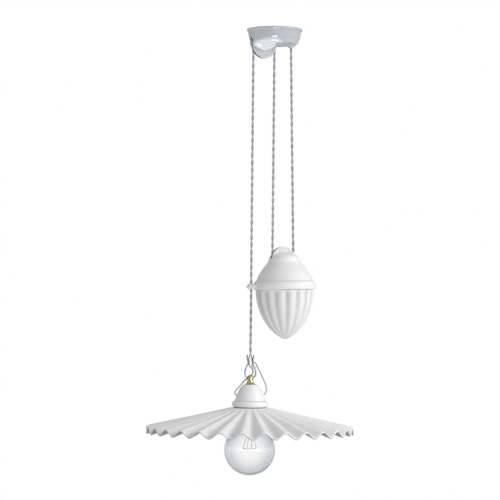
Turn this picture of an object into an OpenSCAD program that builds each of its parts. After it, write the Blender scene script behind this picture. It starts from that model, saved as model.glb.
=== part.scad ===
// Rise and fall pendant: a glazed ceiling rose with a pulley, a fluted counterweight with a pulley,
// one twisted cord that runs over both, and a pleated ceramic shade on a lampholder.
// Millimetres, +Z up. The origin is the centre of the rose's face on the ceiling.

/* [Hanging] */
// Drop from the ceiling to the axle of the ceiling pulley
rose_axle_drop = 32.5; // [31:0.5:35]
// Drop from the ceiling to the axle of the counterweight pulley
weight_axle_drop = 433; // [380:1:500]
// Drop from the ceiling to the pin that the lamp swings on
hook_pin_drop = 655; // [620:1:760]
// Lean of the counterweight on its axle, in degrees
weight_lean = 1.4; // [0:0.1:3]

/* [Cord] */
// Width of the twisted pair
cord_d = 5.2; // [4.8:0.1:5.6]
// Diameter of one covered conductor
conductor_d = 2.6; // [2.2:0.1:2.8]

/* [Pulleys] */
// Diameter of the cord's centre line on both pulleys
pitch_d = 42; // [40:0.5:43]
// Width of a pulley
pulley_w = 12; // [11:0.5:13]
// Reach of the flanges past the cord's centre line
flange_reach = 2.5; // [2:0.5:3]
// Diameter of both axles
axle_d = 5; // [4:0.5:6]
// Wall of the brass bush in each pulley
bush_wall = 2; // [1.5:0.5:2.5]
// Thickness of the steel cheeks that hold the axles
cheek_t = 1.5; // [1:0.25:2]

/* [Rose] */
// Diameter over the rim of the rose
rose_d = 106; // [104:1:114]
// Height of the rose without the pulley hood
rose_h = 29.5; // [29:0.5:34]
// Wall of the rose
rose_wall = 4.5; // [4:0.25:5]
// Height of the rounded rim
rim_h = 5; // [4:0.5:7]
// Width of the pulley hood
hood_w = 32; // [30:1:38]
// Reach of the hood below the axle
hood_below_axle = 9.5; // [9:0.5:11]
// Distance from the inside of the rose's wall to the fixed end of the cord
anchor_inset = 8; // [7.5:0.5:10]
// Height of the boss round the fixed end
boss_h = 3; // [2.5:0.5:8]
// Distance between the two ceiling screws
ceiling_screw_span = 60; // [54:1:64]
// Width of the slots for the ceiling screws
ceiling_slot_w = 4.5; // [4:0.5:6]
// Length of the slots for the ceiling screws
ceiling_slot_l = 12; // [8:1:14]
// Thickness of the ceiling plate
plate_t = 2; // [1.5:0.25:2.5]

/* [Counterweight] */
// Diameter of the fluted bowl at its rim
bowl_d = 110; // [106:1:113]
// Depth of the fluted bowl
bowl_h = 92; // [88:1:100]
// Number of flutes
flutes = 16; // [12:2:20]
// Turn of the flutes about the axis
flute_turn = -5; // [-11:0.5:11]
// Depth of the flutes
flute_depth = 3.2; // [1.5:0.1:3.6]
// Fullness of the bowl: a smaller number makes its lower half rounder
bowl_fullness = 0.66; // [0.6:0.01:0.9]
// Offset of the cap and the bowl from the axle, away from the lamp's strand
body_offset = 2.5; // [0:0.5:3]
// Diameter over the flared band
band_d = 119; // [116:1:122]
// Drop from the axle to the joint of cap and bowl
joint_drop = 57.5; // [55:0.5:62]
// Wall of the cap and the bowl
weight_wall = 4.5; // [4:0.25:5]
// Radius of the round knob at the top of the cap
knob_r = 29; // [28:0.5:31]
// Height of the knob above the axle
knob_h = 12.5; // [12:0.5:14]
// Bore of the guide eye that the lamp's cord runs through
eye_bore = 8.4; // [7.5:0.1:9]
// Diameter of the tie rod
rod_d = 6; // [5:0.5:6]

/* [Shade] */
// Diameter of the shade
shade_d = 388; // [340:4:420]
// Number of pleats
pleats = 30; // [24:2:36]
// Depth of the pleats at the rim
pleat_depth = 11; // [8:0.2:16]
// Drop from the top plate to the middle of the rim
shade_drop = 40.5; // [34:0.5:55]
// Thickness of the shade
shade_wall = 3.6; // [3:0.1:4.5]
// Diameter of the flat top plate
shade_plate_d = 76; // [72:1:90]

/* [Lampholder] */
// Diameter over the collar of the porcelain cover
collar_d = 68; // [66:0.5:74]
// Height of the porcelain cover
cover_h = 42; // [40:0.5:48]
// Wall of the porcelain cover
cover_wall = 4; // [3.5:0.25:4.5]
// Diameter of the lampholder's threaded skirt
skirt_d = 40; // [38:0.5:41]
// Diameter of the wire of the cord hook
hook_wire_d = 3.2; // [2.8:0.1:3.4]

/* [Bulb] */
// Diameter of the bulb's globe
bulb_d = 95; // [80:1:110]
// Length of the bulb with its cap
bulb_l = 137.5; // [134:0.5:150]
// Wall of the bulb's glass
glass_wall = 0.9; // [0.7:0.1:1.2]

/* [Hidden] */
$fn = 64;

// Clearances: a running fit on a radius, a loose fit on a radius, and the gap where two cords meet
run_gap = 0.04;
loose_gap = 0.15;
meet_gap = 0.3;
hair = 0.02; // faces that press on each other are drawn this far apart
past = 1; // how far a cutter runs past the face that it cuts

// Cord, strands and pulleys
cord_r = cord_d / 2;
conductor_r = conductor_d / 2;
pitch_r = pitch_d / 2;
flange_r = pitch_r + flange_reach;
axle_r = axle_d / 2;
bush_r = axle_r + run_gap + bush_wall;
groove_r = cord_r + 0.4;
groove_flare = 0.8;
bush_over = 0.3; // how far the bush stands out of each side of its pulley
cheek_in = pulley_w / 2 + bush_over + 0.1;
cheek_out = cheek_in + cheek_t;
rivet_head_t = 0.8;
rim_slot_half = pulley_w / 2 + 1.2; // half width of the slots that a pulley's rim runs in
lamp_x = -2 * pitch_r; // the strand that the lamp hangs on
middle_x = 0; // the strand between the two pulleys
weight_x = pitch_r; // the counterweight's axle
far_x = 2 * pitch_r; // the fixed strand, where it meets the counterweight's pulley

// Rose
rim_r = rose_d / 2;
rim_lip = 3.4;
wall_top_r = rim_r - rim_lip;
wall_low_r = wall_top_r - 1.4;
step_drop = 18.5;
step_in = 0.8;
foot_r = wall_low_r - step_in - 1.6;
foot_inner_r = foot_r - rose_wall;
anchor_x = foot_inner_r - anchor_inset;
corner_r = 6;
floor_z = -(rose_h - rose_wall);
hood_r = 33;
hood_edge_r = 9;
hood_wall = 3.6;
hood_x = -pitch_r - 2;
hood_z = -rose_axle_drop - hood_below_axle + hood_r;
hood_reach_r = foot_r + 0.8;
cavity_half = cheek_out + rivet_head_t + 0.5;
rim_slot_top = 16.5; // how far the slot runs up the side wall, above the axle
anchor_boss_r = 8;
outlet_r = 4.3;
outlet_flange_r = 5.6;
outlet_flange_t = 1.2;
outlet_z = -rose_h - boss_h;
plate_r = wall_low_r - rose_wall - 1;
screw_x = 20;
screw_r = 1.95;
screw_head_r = 4;
screw_head_t = 2.2;
pillar_r = 4.5;
pillar_inset = 2.6; // from the inside of the rose's wall to a pillar
screw_y = sqrt(pow(foot_inner_r - pillar_inset - pillar_r, 2) - screw_x * screw_x);
rivet_r = 1.5;
rivet_x = [-7, 7];
block = [14, 18, 12]; // terminal block
tail_bend_r = 2 * cord_d; // centre line of the cord's bend inside the rose
tail_end = 0.9; // straight end of the cord outside the terminal block
block_x = anchor_x - tail_bend_r - tail_end - block.x / 2;
feed_hole = [8, 19];
feed_r = 5;
anchor_r = 5.5;
anchor_h = 7;
anchor_screw_r = 0.9;
anchor_screw_z = [1.9, 5.1];

// Counterweight, in a frame with its origin on the axle and +Z along its own axis
neck_r = knob_r + 4;
neck_z = -8.5;
cap_bulge = 2.3; // how far the cap swells between its neck and its shoulder
shoulder_r = bowl_d / 2 - 1.5;
shoulder_z = -(joint_drop - 16.5);
band_r = band_d / 2;
band_z = -(joint_drop - 3.5);
seal_t = 1;
bowl_z = -(joint_drop + seal_t);
bowl_wall = weight_wall + flute_depth - 1;
register_h = 4;
register_r = bowl_d / 2 - bowl_wall - 0.5;
eye_z = -(joint_drop - 6.5);
eye_x = -(3 * pitch_r - eye_z * sin(weight_lean)) / cos(weight_lean) - body_offset;
eye_ring_w = 5.6; // from the bore to the ring's pointed edge
eye_ring_h = 5.5; // half of its height at the bore
eye_web_r = 3.4;
fork_w = 14;
fork_base_z = -(pitch_r + cord_r + 8.4);
fork_base_t = 2;
rod_r = rod_d / 2;
nut_r = rod_d * 0.96;
nut_h = 5;
ballast_gap = 2.6; // between the ballast and the bowl
ballast_room = 6.8; // over the ballast, so that the counterweight is twice as heavy as the lamp
tip_floor_z = bowl_z - bowl_h + 14;
ballast_top_z = bowl_z - register_h - ballast_room;
ballast_low_z = tip_floor_z + nut_h;
insert_r = 4.5;
insert_h = 8;

// Lamp, in a frame with its origin on the pin of the cord hook
cover_top_z = -14;
cover_low_z = cover_top_z - cover_h;
collar_r = collar_d / 2;
collar_h = 11.5;
cover_foot_r = collar_r - 5;
cover_top_r = 11.5;
inlet_drop = 20; // from the cover's top to the two inlets in its side
inlet_z = cover_top_z - inlet_drop;
cover_curve = 1.75; // the power of the curve that the cover's side follows
inlet_x = cover_top_r + (cover_foot_r - cover_top_r) * pow(inlet_drop / (cover_h - collar_h), 1 / cover_curve);
inlet_tilt = 30;
inlet_out = 2; // how far the bushes stand out of the side
inlet_r = conductor_r + 0.2;
inlet_bush_r = inlet_r + 1;
nipple_r = 4.95;
nipple_bore_r = 3;
nipple_in_stem = 6;
nut_t = 3.5;
bridge_z = cover_top_z - cover_wall - nut_t;
bridge_t = 2;
bridge_y = 10;
bridge_w = 12;
holder_drop = 25; // from the top of the cover to the top of the lampholder inside
holder_top_z = cover_top_z - holder_drop;
holder_floor_t = 5;
holder_low_z = cover_low_z - 21.5;
skirt_r = skirt_d / 2;
bulb_cap_r = 13.2;
shell_t = 0.8;
shell_in_r = bulb_cap_r + run_gap;
shell_r = shell_in_r + shell_t;
shade_seal_t = 1;
shade_z = cover_low_z - shade_seal_t;
shade_r = shade_d / 2;
shade_plate_r = shade_plate_d / 2;
shade_hole_r = skirt_r + 0.6;
ring_h = 7;
ring_r = skirt_r + 7;
terminal = [7, 6, 6];
terminal_x = 11;

// Bulb, in the lamp's frame
tip_z = holder_top_z - holder_floor_t - 1.5;
tip_h = 1.4;
insulator_h = 2;
bulb_cap_z = tip_z - tip_h - insulator_h;
bulb_cap_h = 22.5;
bulb_cap_t = 0.5;
thread_pitch = 3.6;
thread_depth = 0.7;
bulb_r = bulb_d / 2;
globe_z = tip_z - bulb_l + bulb_r;
glass_neck_r = bulb_cap_r - bulb_cap_t - thread_depth - 0.1;
glass_top_z = bulb_cap_z - 15;
stem_low_z = globe_z + 22;
filament_z = globe_z + 2;
filament_r = 13;

// Routes of the two conductors from the knot down to the inlets, in the lamp's frame, and from
// there along the inlet's slope to the terminal inside
right_route = [[1, -5.5, 20.5], [2.2, -5.8, 24], [4.6, -6, 27.2], [7.8, -5, 27.6], [11.2, -3.2, 23],
    [14.8, -1.5, 17], [20.8, 0, 6.5], [25.6, 0, -3], [30.4, 0, -13], [32.2, 0, -21], [31.4, 0, -27.5]];
left_route = [[4.2, 4.2, 18.5], [6.4, 5.4, 14.5], [7.1, 6.4, 10], [6.3, 7.6, 5], [2.5, 8.6, 1],
    [-3.5, 8.4, -2.4], [-11.3, 6.6, -9], [-19.4, 4, -17], [-26.8, 1.4, -23.5], [-30.4, 0, -28.5]];
function inlet_route(side) = [
    for (out = [4.6, 2.4, -5, -6]) [side * (inlet_x + out * cos(inlet_tilt)), 0,
        inlet_z + out * sin(inlet_tilt)],
    [side * (terminal_x + terminal.x / 2 + 3.4), 0, holder_top_z + terminal.z / 2],
    [side * (terminal_x + terminal.x / 2 + loose_gap), 0, holder_top_z + terminal.z / 2]];

// One side of the cord hook, from the tip of its horn to the pin, in the lamp's frame
hook_grip_x = cord_r + hook_wire_d / 2 - 0.12;
hook_route = [[6.8, 0, 41.5], [6, 0, 36], [4.9, 0, 31], [hook_grip_x, 0, 26.5], [6.4, 0, 21.5], [9.2, 0, 15.5],
    [10.5, 0, 10], [10.3, 0, 5.4], [8.8, 0, 2], [6.6, 0, 0.2], [4, 0, 0]];
knot_top_z = 45;
knot_r = 4.6;
knot_half_h = 5.5;
knot_z = 18;

// Points of an arc about a centre, from one angle to another
function arc(centre, r, from, to, steps) =
    [for (i = [0:steps]) let (a = from + (to - from) * i / steps) centre + r * [cos(a), sin(a)]];

// A smooth curve through points: four-point spline, with steps between each two
function spline_point(a, b, c, d, t) =
    0.5 * (2 * b + (c - a) * t + (2 * a - 5 * b + 4 * c - d) * t * t + (3 * b - 3 * c + d - a) * t * t * t);
function smooth(p, steps) = let (n = len(p) - 1) concat(
    [for (i = [0:n - 1]) for (k = [0:steps - 1])
        spline_point(p[max(i - 1, 0)], p[i], p[i + 1], p[min(i + 2, n)], k / steps)],
    [p[n]]);

function unit(v) = v / norm(v);
function heading(p, i) = unit(p[min(i + 1, len(p) - 1)] - p[max(i - 1, 0)]);

// A round tube of radius r along points that never run along Y
module tube(p, r, sides = 8) {
    n = len(p);
    rings = [for (i = [0:n - 1]) let (t = heading(p, i), u = unit(cross([0, 1, 0], t)), v = cross(t, u))
        for (k = [0:sides - 1]) p[i] + r * (cos(360 * k / sides) * u + sin(360 * k / sides) * v)];
    walls = [for (i = [0:n - 2]) for (k = [0:sides - 1]) let (m = (k + 1) % sides)
        [i * sides + k, (i + 1) * sides + k, (i + 1) * sides + m, i * sides + m]];
    polyhedron(rings, concat(walls, [[for (k = [0:sides - 1]) k]],
        [[for (k = [1:sides]) n * sides - k]]), convexity = 6);
}

// A closed shell between loops of points that all have the same count: the first loop meets the last
module ring_of_loops(loops) {
    n = len(loops);
    m = len(loops[0]);
    polyhedron([for (l = loops) for (q = l) q],
        [for (i = [0:n - 1]) for (k = [0:m - 1]) let (j = (i + 1) % n, h = (k + 1) % m)
            [i * m + k, i * m + h, j * m + h, j * m + k]], convexity = 10);
}

module ring(r_out, r_in, h) {
    difference() {
        cylinder(r = r_out, h = h);
        translate([0, 0, -past]) cylinder(r = r_in, h = h + 2 * past);
    }
}

// Stands a shape that was drawn about Z up about Y, at a place in the plane of the strands
module about_y(x, z) { translate([x, 0, z]) rotate([90, 0, 0]) children(); }

module weight_frame() { translate([weight_x, 0, -weight_axle_drop]) rotate([0, -weight_lean, 0]) children(); }
module body_frame() { weight_frame() translate([body_offset, 0, 0]) children(); }
module lamp_frame() { translate([lamp_x, 0, -hook_pin_drop]) children(); }
module inlets() {
    for (side = [-1, 1]) translate([side * inlet_x, 0, inlet_z])
        rotate([0, side * (90 - inlet_tilt), 0]) children();
}
module both_sides() { for (side = [-1, 1]) translate([0, side * screw_y, 0]) children(); }

// ---- Pulleys and axles ----

module pulley(x, z) {
    hub_r = bush_r + 3;
    half = pulley_w / 2;
    about_y(x, z) rotate_extrude() difference() {
        polygon([[bush_r, -half], [hub_r, -half], [hub_r + 1.2, -half + 1], [flange_r - 4, -half + 1],
            [flange_r - 2.4, -half + 0.2], [flange_r - 0.9, -half + 0.2], [flange_r, -half + 1.1],
            [flange_r, half - 1.1], [flange_r - 0.9, half - 0.2], [flange_r - 2.4, half - 0.2],
            [flange_r - 4, half - 1], [hub_r + 1.2, half - 1], [hub_r, half], [bush_r, half]]);
        translate([pitch_r, 0]) circle(r = groove_r);
        polygon([[pitch_r, -groove_r], [flange_r + past, -groove_r - groove_flare],
            [flange_r + past, groove_r + groove_flare], [pitch_r, groove_r]]);
    }
}

module pulley_bush(x, z) {
    length = pulley_w + 2 * bush_over;
    about_y(x, z) translate([0, 0, -length / 2]) ring(bush_r, axle_r + run_gap, length);
}

// A riveted axle: a shank with a low head outside each cheek
module axle(x, z) {
    about_y(x, z) {
        translate([0, 0, -cheek_out]) cylinder(r = axle_r, h = 2 * cheek_out);
        for (side = [-1, 1]) translate([0, 0, side * (cheek_out + rivet_head_t / 2) - rivet_head_t / 2])
            cylinder(r = axle_r + 1.2, h = rivet_head_t);
    }
}

// A half turn of cord in a pulley's groove, over its top or under it
module half_turn(x, z, over) {
    about_y(x, z) rotate([0, 0, over ? 0 : 180]) rotate_extrude(angle = 180)
        translate([pitch_r, 0]) circle(r = cord_r);
}

module rose_pulley() { color("aliceblue") pulley(-pitch_r, -rose_axle_drop); }
module rose_pulley_bush() { color("goldenrod") pulley_bush(-pitch_r, -rose_axle_drop); }
module rose_axle() { color("silver") axle(-pitch_r, -rose_axle_drop); }
module cord_over_rose_pulley() { color("gainsboro") half_turn(-pitch_r, -rose_axle_drop, true); }

module weight_pulley() { color("aliceblue") weight_frame() pulley(0, 0); }
module weight_pulley_bush() { color("goldenrod") weight_frame() pulley_bush(0, 0); }
module weight_axle() { color("silver") weight_frame() axle(0, 0); }
module cord_under_weight_pulley() { color("gainsboro") half_turn(weight_x, -weight_axle_drop, false); }

// ---- Ceiling rose ----

module rose_outline() {
    polygon(concat([[0, 0]], arc([rim_r - rim_h / 2, -rim_h / 2], rim_h / 2, 90, -90, 10),
        [[wall_top_r, -rim_h], [wall_low_r, -step_drop], [wall_low_r - step_in, -step_drop - step_in]],
        arc([foot_r - corner_r, corner_r - rose_h], corner_r, 0, -90, 8), [[0, -rose_h]]));
}

module rose_inside() {
    inner_corner = 2.4;
    polygon(concat([[0, past], [wall_top_r - rose_wall, past], [wall_low_r - rose_wall, -step_drop]],
        arc([foot_inner_r - inner_corner, floor_z + inner_corner], inner_corner, 0, -90, 5),
        [[0, floor_z]]));
}

module hood_disc(r, half, edge) {
    about_y(hood_x, hood_z) rotate_extrude()
        polygon(concat([[0, -half]], arc([r - edge, edge - half], edge, -90, 0, 6),
            arc([r - edge, half - edge], edge, 0, 90, 6), [[0, half]]));
}

module rose_shell() {
    color("lightsteelblue") difference() {
        union() {
            rotate_extrude($fn = 128) rose_outline();
            intersection() {
                hood_disc(hood_r, hood_w / 2, hood_edge_r);
                translate([0, 0, -2 * rose_h]) cylinder(r = hood_reach_r, h = 2 * rose_h - step_drop - 2);
            }
            translate([anchor_x, 0, outlet_z]) rotate_extrude()
                polygon(concat([[0, 0]], arc([anchor_boss_r - 3, 3], 3, -90, 0, 5),
                    [[anchor_boss_r, boss_h + 2], [0, boss_h + 2]]));
        }
        rotate_extrude($fn = 128) rose_inside();
        // the room for the yoke inside the hood
        intersection() {
            hood_disc(hood_r - hood_wall, cavity_half, 2);
            translate([0, 0, -2 * rose_h]) cylinder(r = hood_reach_r - rose_wall, h = 2 * rose_h);
        }
        // the slot for the pulley's rim and the cord, through the hood and up the side wall
        translate([0, rim_slot_half, 0]) rotate([90, 0, 0]) linear_extrude(2 * rim_slot_half) {
            translate([-pitch_r, -rose_axle_drop]) circle(r = flange_r + 1.8);
            translate([-rose_d, -3 * rose_h])
                square([rose_d - pitch_r, 3 * rose_h - rose_axle_drop + rim_slot_top]);
            translate([-pitch_r, -3 * rose_h]) square([flange_r + 1.8, 3 * rose_h - rose_axle_drop]);
        }
        // the outlet of the fixed strand
        translate([anchor_x, 0, outlet_z - past]) cylinder(r = outlet_r, h = boss_h + rose_wall + 2 * past);
        // the countersunk holes for the two screws
        both_sides() translate([screw_x, 0, -rose_h]) {
            translate([0, 0, -past]) cylinder(r = screw_r + loose_gap, h = rose_wall + 2 * past);
            translate([0, 0, -0.01])
                cylinder(r1 = screw_head_r + 0.3, r2 = screw_r + loose_gap, h = screw_head_t);
        }
    }
}

module rose_screws() {
    color("silver") both_sides() translate([screw_x, 0, -rose_h + 0.1]) difference() {
        union() {
            cylinder(r1 = screw_head_r, r2 = screw_r, h = screw_head_t - 0.2);
            cylinder(r = screw_r, h = rose_h - plate_t - 8);
        }
        translate([-screw_head_r, -0.5, -past]) cube([2 * screw_head_r, 1, past + 0.8]);
    }
}

module plate_pillars() {
    height = rose_h - rose_wall - plate_t;
    color("silver") both_sides() translate([screw_x, 0, floor_z]) difference() {
        cylinder(r = pillar_r, h = height);
        translate([0, 0, -past]) cylinder(r = screw_r + run_gap, h = height - 4 + past);
    }
}

module ceiling_plate() {
    color("silver") difference() {
        translate([0, 0, -plate_t]) cylinder(r = plate_r, h = plate_t, $fn = 96);
        for (side = [-1, 1]) translate([0, side * ceiling_screw_span / 2, -plate_t - past]) {
            straight = ceiling_slot_l - ceiling_slot_w;
            for (end = [-1, 1]) translate([0, end * straight / 2, 0])
                cylinder(d = ceiling_slot_w, h = plate_t + 2 * past);
            translate([-ceiling_slot_w / 2, -straight / 2, 0])
                cube([ceiling_slot_w, straight, plate_t + 2 * past]);
        }
        translate([feed_hole.x, feed_hole.y, -plate_t - past]) cylinder(r = feed_r, h = plate_t + 2 * past);
        for (x = rivet_x) translate([x - pitch_r, 0, -plate_t - past])
            cylinder(r = rivet_r + run_gap, h = plate_t + 2 * past);
    }
}

module pulley_yoke() {
    ear_r = 5.5;
    base_l = 22;
    color("silver") difference() {
        union() {
            translate([-pitch_r - base_l / 2, -cheek_out, -plate_t - cheek_t])
                cube([base_l, 2 * cheek_out, cheek_t]);
            for (side = [-1, 1]) translate([0, side * (cheek_in + cheek_t / 2), 0]) {
                translate([-pitch_r - ear_r + 0.4, -cheek_t / 2, -rose_axle_drop])
                    cube([2 * ear_r - 0.8, cheek_t, rose_axle_drop - plate_t - 0.2]);
                about_y(-pitch_r, -rose_axle_drop) translate([0, 0, -cheek_t / 2])
                    cylinder(r = ear_r, h = cheek_t);
            }
        }
        about_y(-pitch_r, -rose_axle_drop) translate([0, 0, -cheek_out - past])
            cylinder(r = axle_r + run_gap, h = 2 * cheek_out + 2 * past);
        for (x = rivet_x) translate([x - pitch_r, 0, -plate_t - cheek_t - past])
            cylinder(r = rivet_r + run_gap, h = cheek_t + 2 * past);
    }
}

module yoke_rivets() {
    color("gray") for (x = rivet_x) translate([x - pitch_r, 0, 0]) {
        translate([0, 0, -plate_t - cheek_t]) cylinder(r = rivet_r, h = plate_t + cheek_t);
        translate([0, 0, -plate_t - cheek_t - 0.9]) cylinder(r = rivet_r + 1, h = 0.9);
    }
}

module outlet_bush() {
    length = boss_h + rose_wall;
    color("ivory") translate([anchor_x, 0, outlet_z]) difference() {
        union() {
            cylinder(r = outlet_r - loose_gap, h = length);
            translate([0, 0, -outlet_flange_t]) cylinder(r = outlet_flange_r, h = outlet_flange_t);
        }
        translate([0, 0, -outlet_flange_t - past])
            cylinder(r = cord_r + loose_gap, h = length + outlet_flange_t + 2 * past);
    }
}

// The clamp that takes the pull of the fixed strand, standing on the rose's floor
module cord_anchor() {
    color("dimgray") translate([anchor_x, 0, floor_z]) difference() {
        cylinder(r = anchor_r, h = anchor_h);
        translate([0, 0, -past]) cylinder(r = cord_r + loose_gap, h = anchor_h + 2 * past);
        for (z = anchor_screw_z) translate([0, 0, z]) rotate([0, 90, 180])
            cylinder(r = anchor_screw_r + run_gap, h = anchor_r + past);
    }
}

module anchor_screws() {
    color("silver") for (z = anchor_screw_z) translate([anchor_x - cord_r - hair, 0, floor_z + z])
        rotate([0, -90, 0]) {
            cylinder(r = anchor_screw_r, h = anchor_r - cord_r);
            translate([0, 0, anchor_r - cord_r]) cylinder(r = anchor_screw_r + 0.6, h = 0.8);
        }
}

module terminal_block() {
    color("dimgray") translate([block_x, 0, -plate_t - block.z]) difference() {
        translate([-block.x / 2, -block.y / 2, 0]) cube(block);
        for (x = [-3.5, 3.5], y = [-4.5, 4.5]) translate([x, y, -past]) cylinder(r = 2, h = 5 + past);
    }
}

module terminal_screws() {
    color("goldenrod") for (x = [-3.5, 3.5], y = [-4.5, 4.5])
        translate([block_x + x, y, -plate_t - block.z + 0.8]) difference() {
            cylinder(r = 1.85, h = 4.2);
            translate([-2, -0.3, -past]) cube([4, 0.6, past + 0.8]);
        }
}

// The tail of the cord inside the rose, from below the outlet to the terminal block
module cord_tail() {
    bend_r = tail_bend_r;
    low_z = outlet_z - outlet_flange_t - 0.5;
    turn_z = -plate_t - block.z / 2 - bend_r;
    color("gainsboro") union() {
        translate([anchor_x, 0, low_z]) cylinder(r = cord_r, h = turn_z - low_z);
        translate([anchor_x - bend_r, 0, turn_z]) rotate([90, 0, 0]) rotate_extrude(angle = 90)
            translate([bend_r, 0]) circle(r = cord_r);
        translate([block_x + block.x / 2 + 0.1, 0, turn_z + bend_r]) rotate([0, 90, 0])
            cylinder(r = cord_r, h = anchor_x - bend_r - block_x - block.x / 2 - 0.1);
    }
}

// ---- Runs of the cord ----

module straight_run(from, to) {
    way = to - from;
    color("gainsboro") translate(from) rotate([0, atan2(way.x, way.z), 0]) cylinder(r = cord_r, h = norm(way));
}

module cord_fixed_run() {
    straight_run([far_x, 0, -weight_axle_drop + meet_gap], [anchor_x, 0,
        outlet_z - outlet_flange_t - 0.5 - meet_gap]);
}
module cord_middle_run() {
    straight_run([middle_x, 0, -weight_axle_drop + meet_gap], [middle_x, 0, -rose_axle_drop - meet_gap]);
}
module cord_lamp_run() {
    straight_run([lamp_x, 0, -hook_pin_drop + knot_top_z + meet_gap], [lamp_x, 0, -rose_axle_drop - meet_gap]);
}

// ---- Counterweight ----

// The cap's profile, drawn in by a wall: knob, neck, shoulder and the flared band
function cap_side(wall) = concat(
    [for (a = [0:10:90]) [(knob_r - wall) * sin(a), (knob_h - wall) * cos(a)]],
    [[knob_r + 1.8 - wall, -5]],
    [for (i = [0:8]) let (t = i / 8) [neck_r - wall + (shoulder_r - neck_r) * t + cap_bulge * sin(180 * t),
        neck_z + (shoulder_z - neck_z) * t]]);

module weight_cap() {
    color("whitesmoke") body_frame() difference() {
        union() {
            rotate_extrude($fn = 128) polygon(concat(cap_side(0),
                [[shoulder_r + 1.8, shoulder_z - 0.6]],
                [for (i = [1:6]) let (t = i / 6) [shoulder_r + 1.8 + (band_r - shoulder_r - 1.8) * sin(90 * t),
                    shoulder_z - 0.6 + (band_z - shoulder_z + 0.6) * (0.35 * t + 0.65 * t * t)]],
                [[band_r, band_z - 1.2], [band_r - 1.2, band_z - 2.8], [bowl_d / 2 + 0.6, -joint_drop],
                    [0, -joint_drop]]));
            translate([0, 0, -joint_drop - register_h]) ring(register_r, register_r - 3, register_h + 2);
            // the guide eye beside the band, with a short web
            translate([eye_x, 0, eye_z]) rotate_extrude() translate([eye_bore / 2, 0]) polygon([
                [-0.5, -eye_ring_h], [0.8, -eye_ring_h], [eye_ring_w - 0.8, -0.9], [eye_ring_w, 0],
                [eye_ring_w - 0.8, 0.9], [0.8, eye_ring_h], [-0.5, eye_ring_h]]);
            translate([eye_x + eye_bore / 2 + 1, 0, eye_z]) rotate([0, 90, 0])
                cylinder(r = eye_web_r, h = -eye_x - eye_bore / 2 - shoulder_r + 1);
        }
        rotate_extrude($fn = 128) polygon(concat(cap_side(weight_wall),
            [[register_r - 3, -joint_drop + 6], [register_r - 3, -joint_drop - register_h - past],
                [0, -joint_drop - register_h - past]]));
        translate([-body_offset - pitch_r - cord_r - 1.6, -rim_slot_half, -5])
            cube([2 * (pitch_r + cord_r + 1.6), 2 * rim_slot_half, 2 * knob_h]);
        translate([eye_x, 0, eye_z - 3 * eye_ring_h]) cylinder(d = eye_bore, h = 6 * eye_ring_h);
    }
}

// Radius of the bowl's ribs at a share t of its depth, and of its inside
function bowl_r_at(t) = bowl_d / 2 * pow(1 - t * t, bowl_fullness);
function flute_at(a, t) = flute_depth * (1 - abs(cos(flutes * (a - flute_turn) / 2))) * sqrt(1 - t);
bowl_steps = 8; // points on each flute
bowl_levels = [0, 0.06, 0.15, 0.26, 0.38, 0.5, 0.61, 0.71, 0.8, 0.87, 0.93, 0.97];

module weight_bowl() {
    count = flutes * bowl_steps;
    inside = [0.84, 0.74, 0.6, 0.4, 0.2, 0];
    function loop(r, z) = [for (k = [0:count - 1]) [r * cos(360 * k / count), r * sin(360 * k / count), z]];
    outer = [for (t = bowl_levels) [for (k = [0:count - 1]) let (a = 360 * k / count,
        r = bowl_r_at(t) - flute_at(a, t))
        [r * cos(a), r * sin(a), bowl_z - bowl_h * t]]];
    tip = [for (t = [0.985, 0.996]) loop(bowl_r_at(t), bowl_z - bowl_h * t), loop(0.4, bowl_z - bowl_h)];
    well = [loop(0.4, tip_floor_z - insert_h), loop(insert_r, tip_floor_z - insert_h), loop(insert_r,
        tip_floor_z)];
    inner = [for (t = inside) loop(bowl_r_at(t) - bowl_wall,
        t == inside[0] ? tip_floor_z : bowl_z - bowl_h * t)];
    color("whitesmoke") body_frame() ring_of_loops(concat(outer, tip, well, inner));
}

module weight_seal() {
    color("tan") body_frame() translate([0, 0, bowl_z])
        ring(bowl_d / 2 - flute_depth - 0.5, register_r + 0.3, seal_t);
}

module weight_fork() {
    ear_r = 6;
    color("silver") weight_frame() difference() {
        union() {
            translate([body_offset - fork_w / 2, -cheek_out, fork_base_z - fork_base_t])
                cube([fork_w, 2 * cheek_out, fork_base_t]);
            for (side = [-1, 1]) translate([0, side * (cheek_in + cheek_t / 2), 0]) {
                translate([-ear_r + 0.4, -cheek_t / 2, fork_base_z - 0.2])
                    cube([2 * ear_r - 0.8, cheek_t, -fork_base_z + 0.2]);
                about_y(0, 0) translate([0, 0, -cheek_t / 2]) cylinder(r = ear_r, h = cheek_t);
            }
        }
        about_y(0, 0) translate([0, 0, -cheek_out - past])
            cylinder(r = axle_r + run_gap, h = 2 * cheek_out + 2 * past);
        translate([body_offset, 0, fork_base_z - fork_base_t - past])
            cylinder(r = rod_r + loose_gap, h = fork_base_t + 2 * past);
    }
}

module tie_rod() {
    top_z = fork_base_z + nut_h + 1;
    low_z = tip_floor_z - insert_h + 1;
    color("silver") body_frame() translate([0, 0, low_z]) cylinder(r = rod_r, h = top_z - low_z);
}

module rod_nuts() {
    color("gray") body_frame()
        for (z = [fork_base_z, fork_base_z - fork_base_t - nut_h, ballast_low_z - nut_h])
            translate([0, 0, z]) difference() {
            cylinder(r = nut_r, h = nut_h, $fn = 6);
            translate([0, 0, -past]) cylinder(r = rod_r + run_gap, h = nut_h + 2 * past);
        }
}

module ballast() {
    levels = [for (i = [0:8]) ballast_top_z + (ballast_low_z - ballast_top_z) * i / 8];
    color("dimgray") body_frame() rotate_extrude($fn = 96) polygon(concat([[rod_r + loose_gap, ballast_top_z]],
        [for (z = levels) [min(bowl_r_at((bowl_z - z) / bowl_h) - bowl_wall - ballast_gap,
            register_r - 1), z]],
        [[rod_r + loose_gap, ballast_low_z]]));
}

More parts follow.
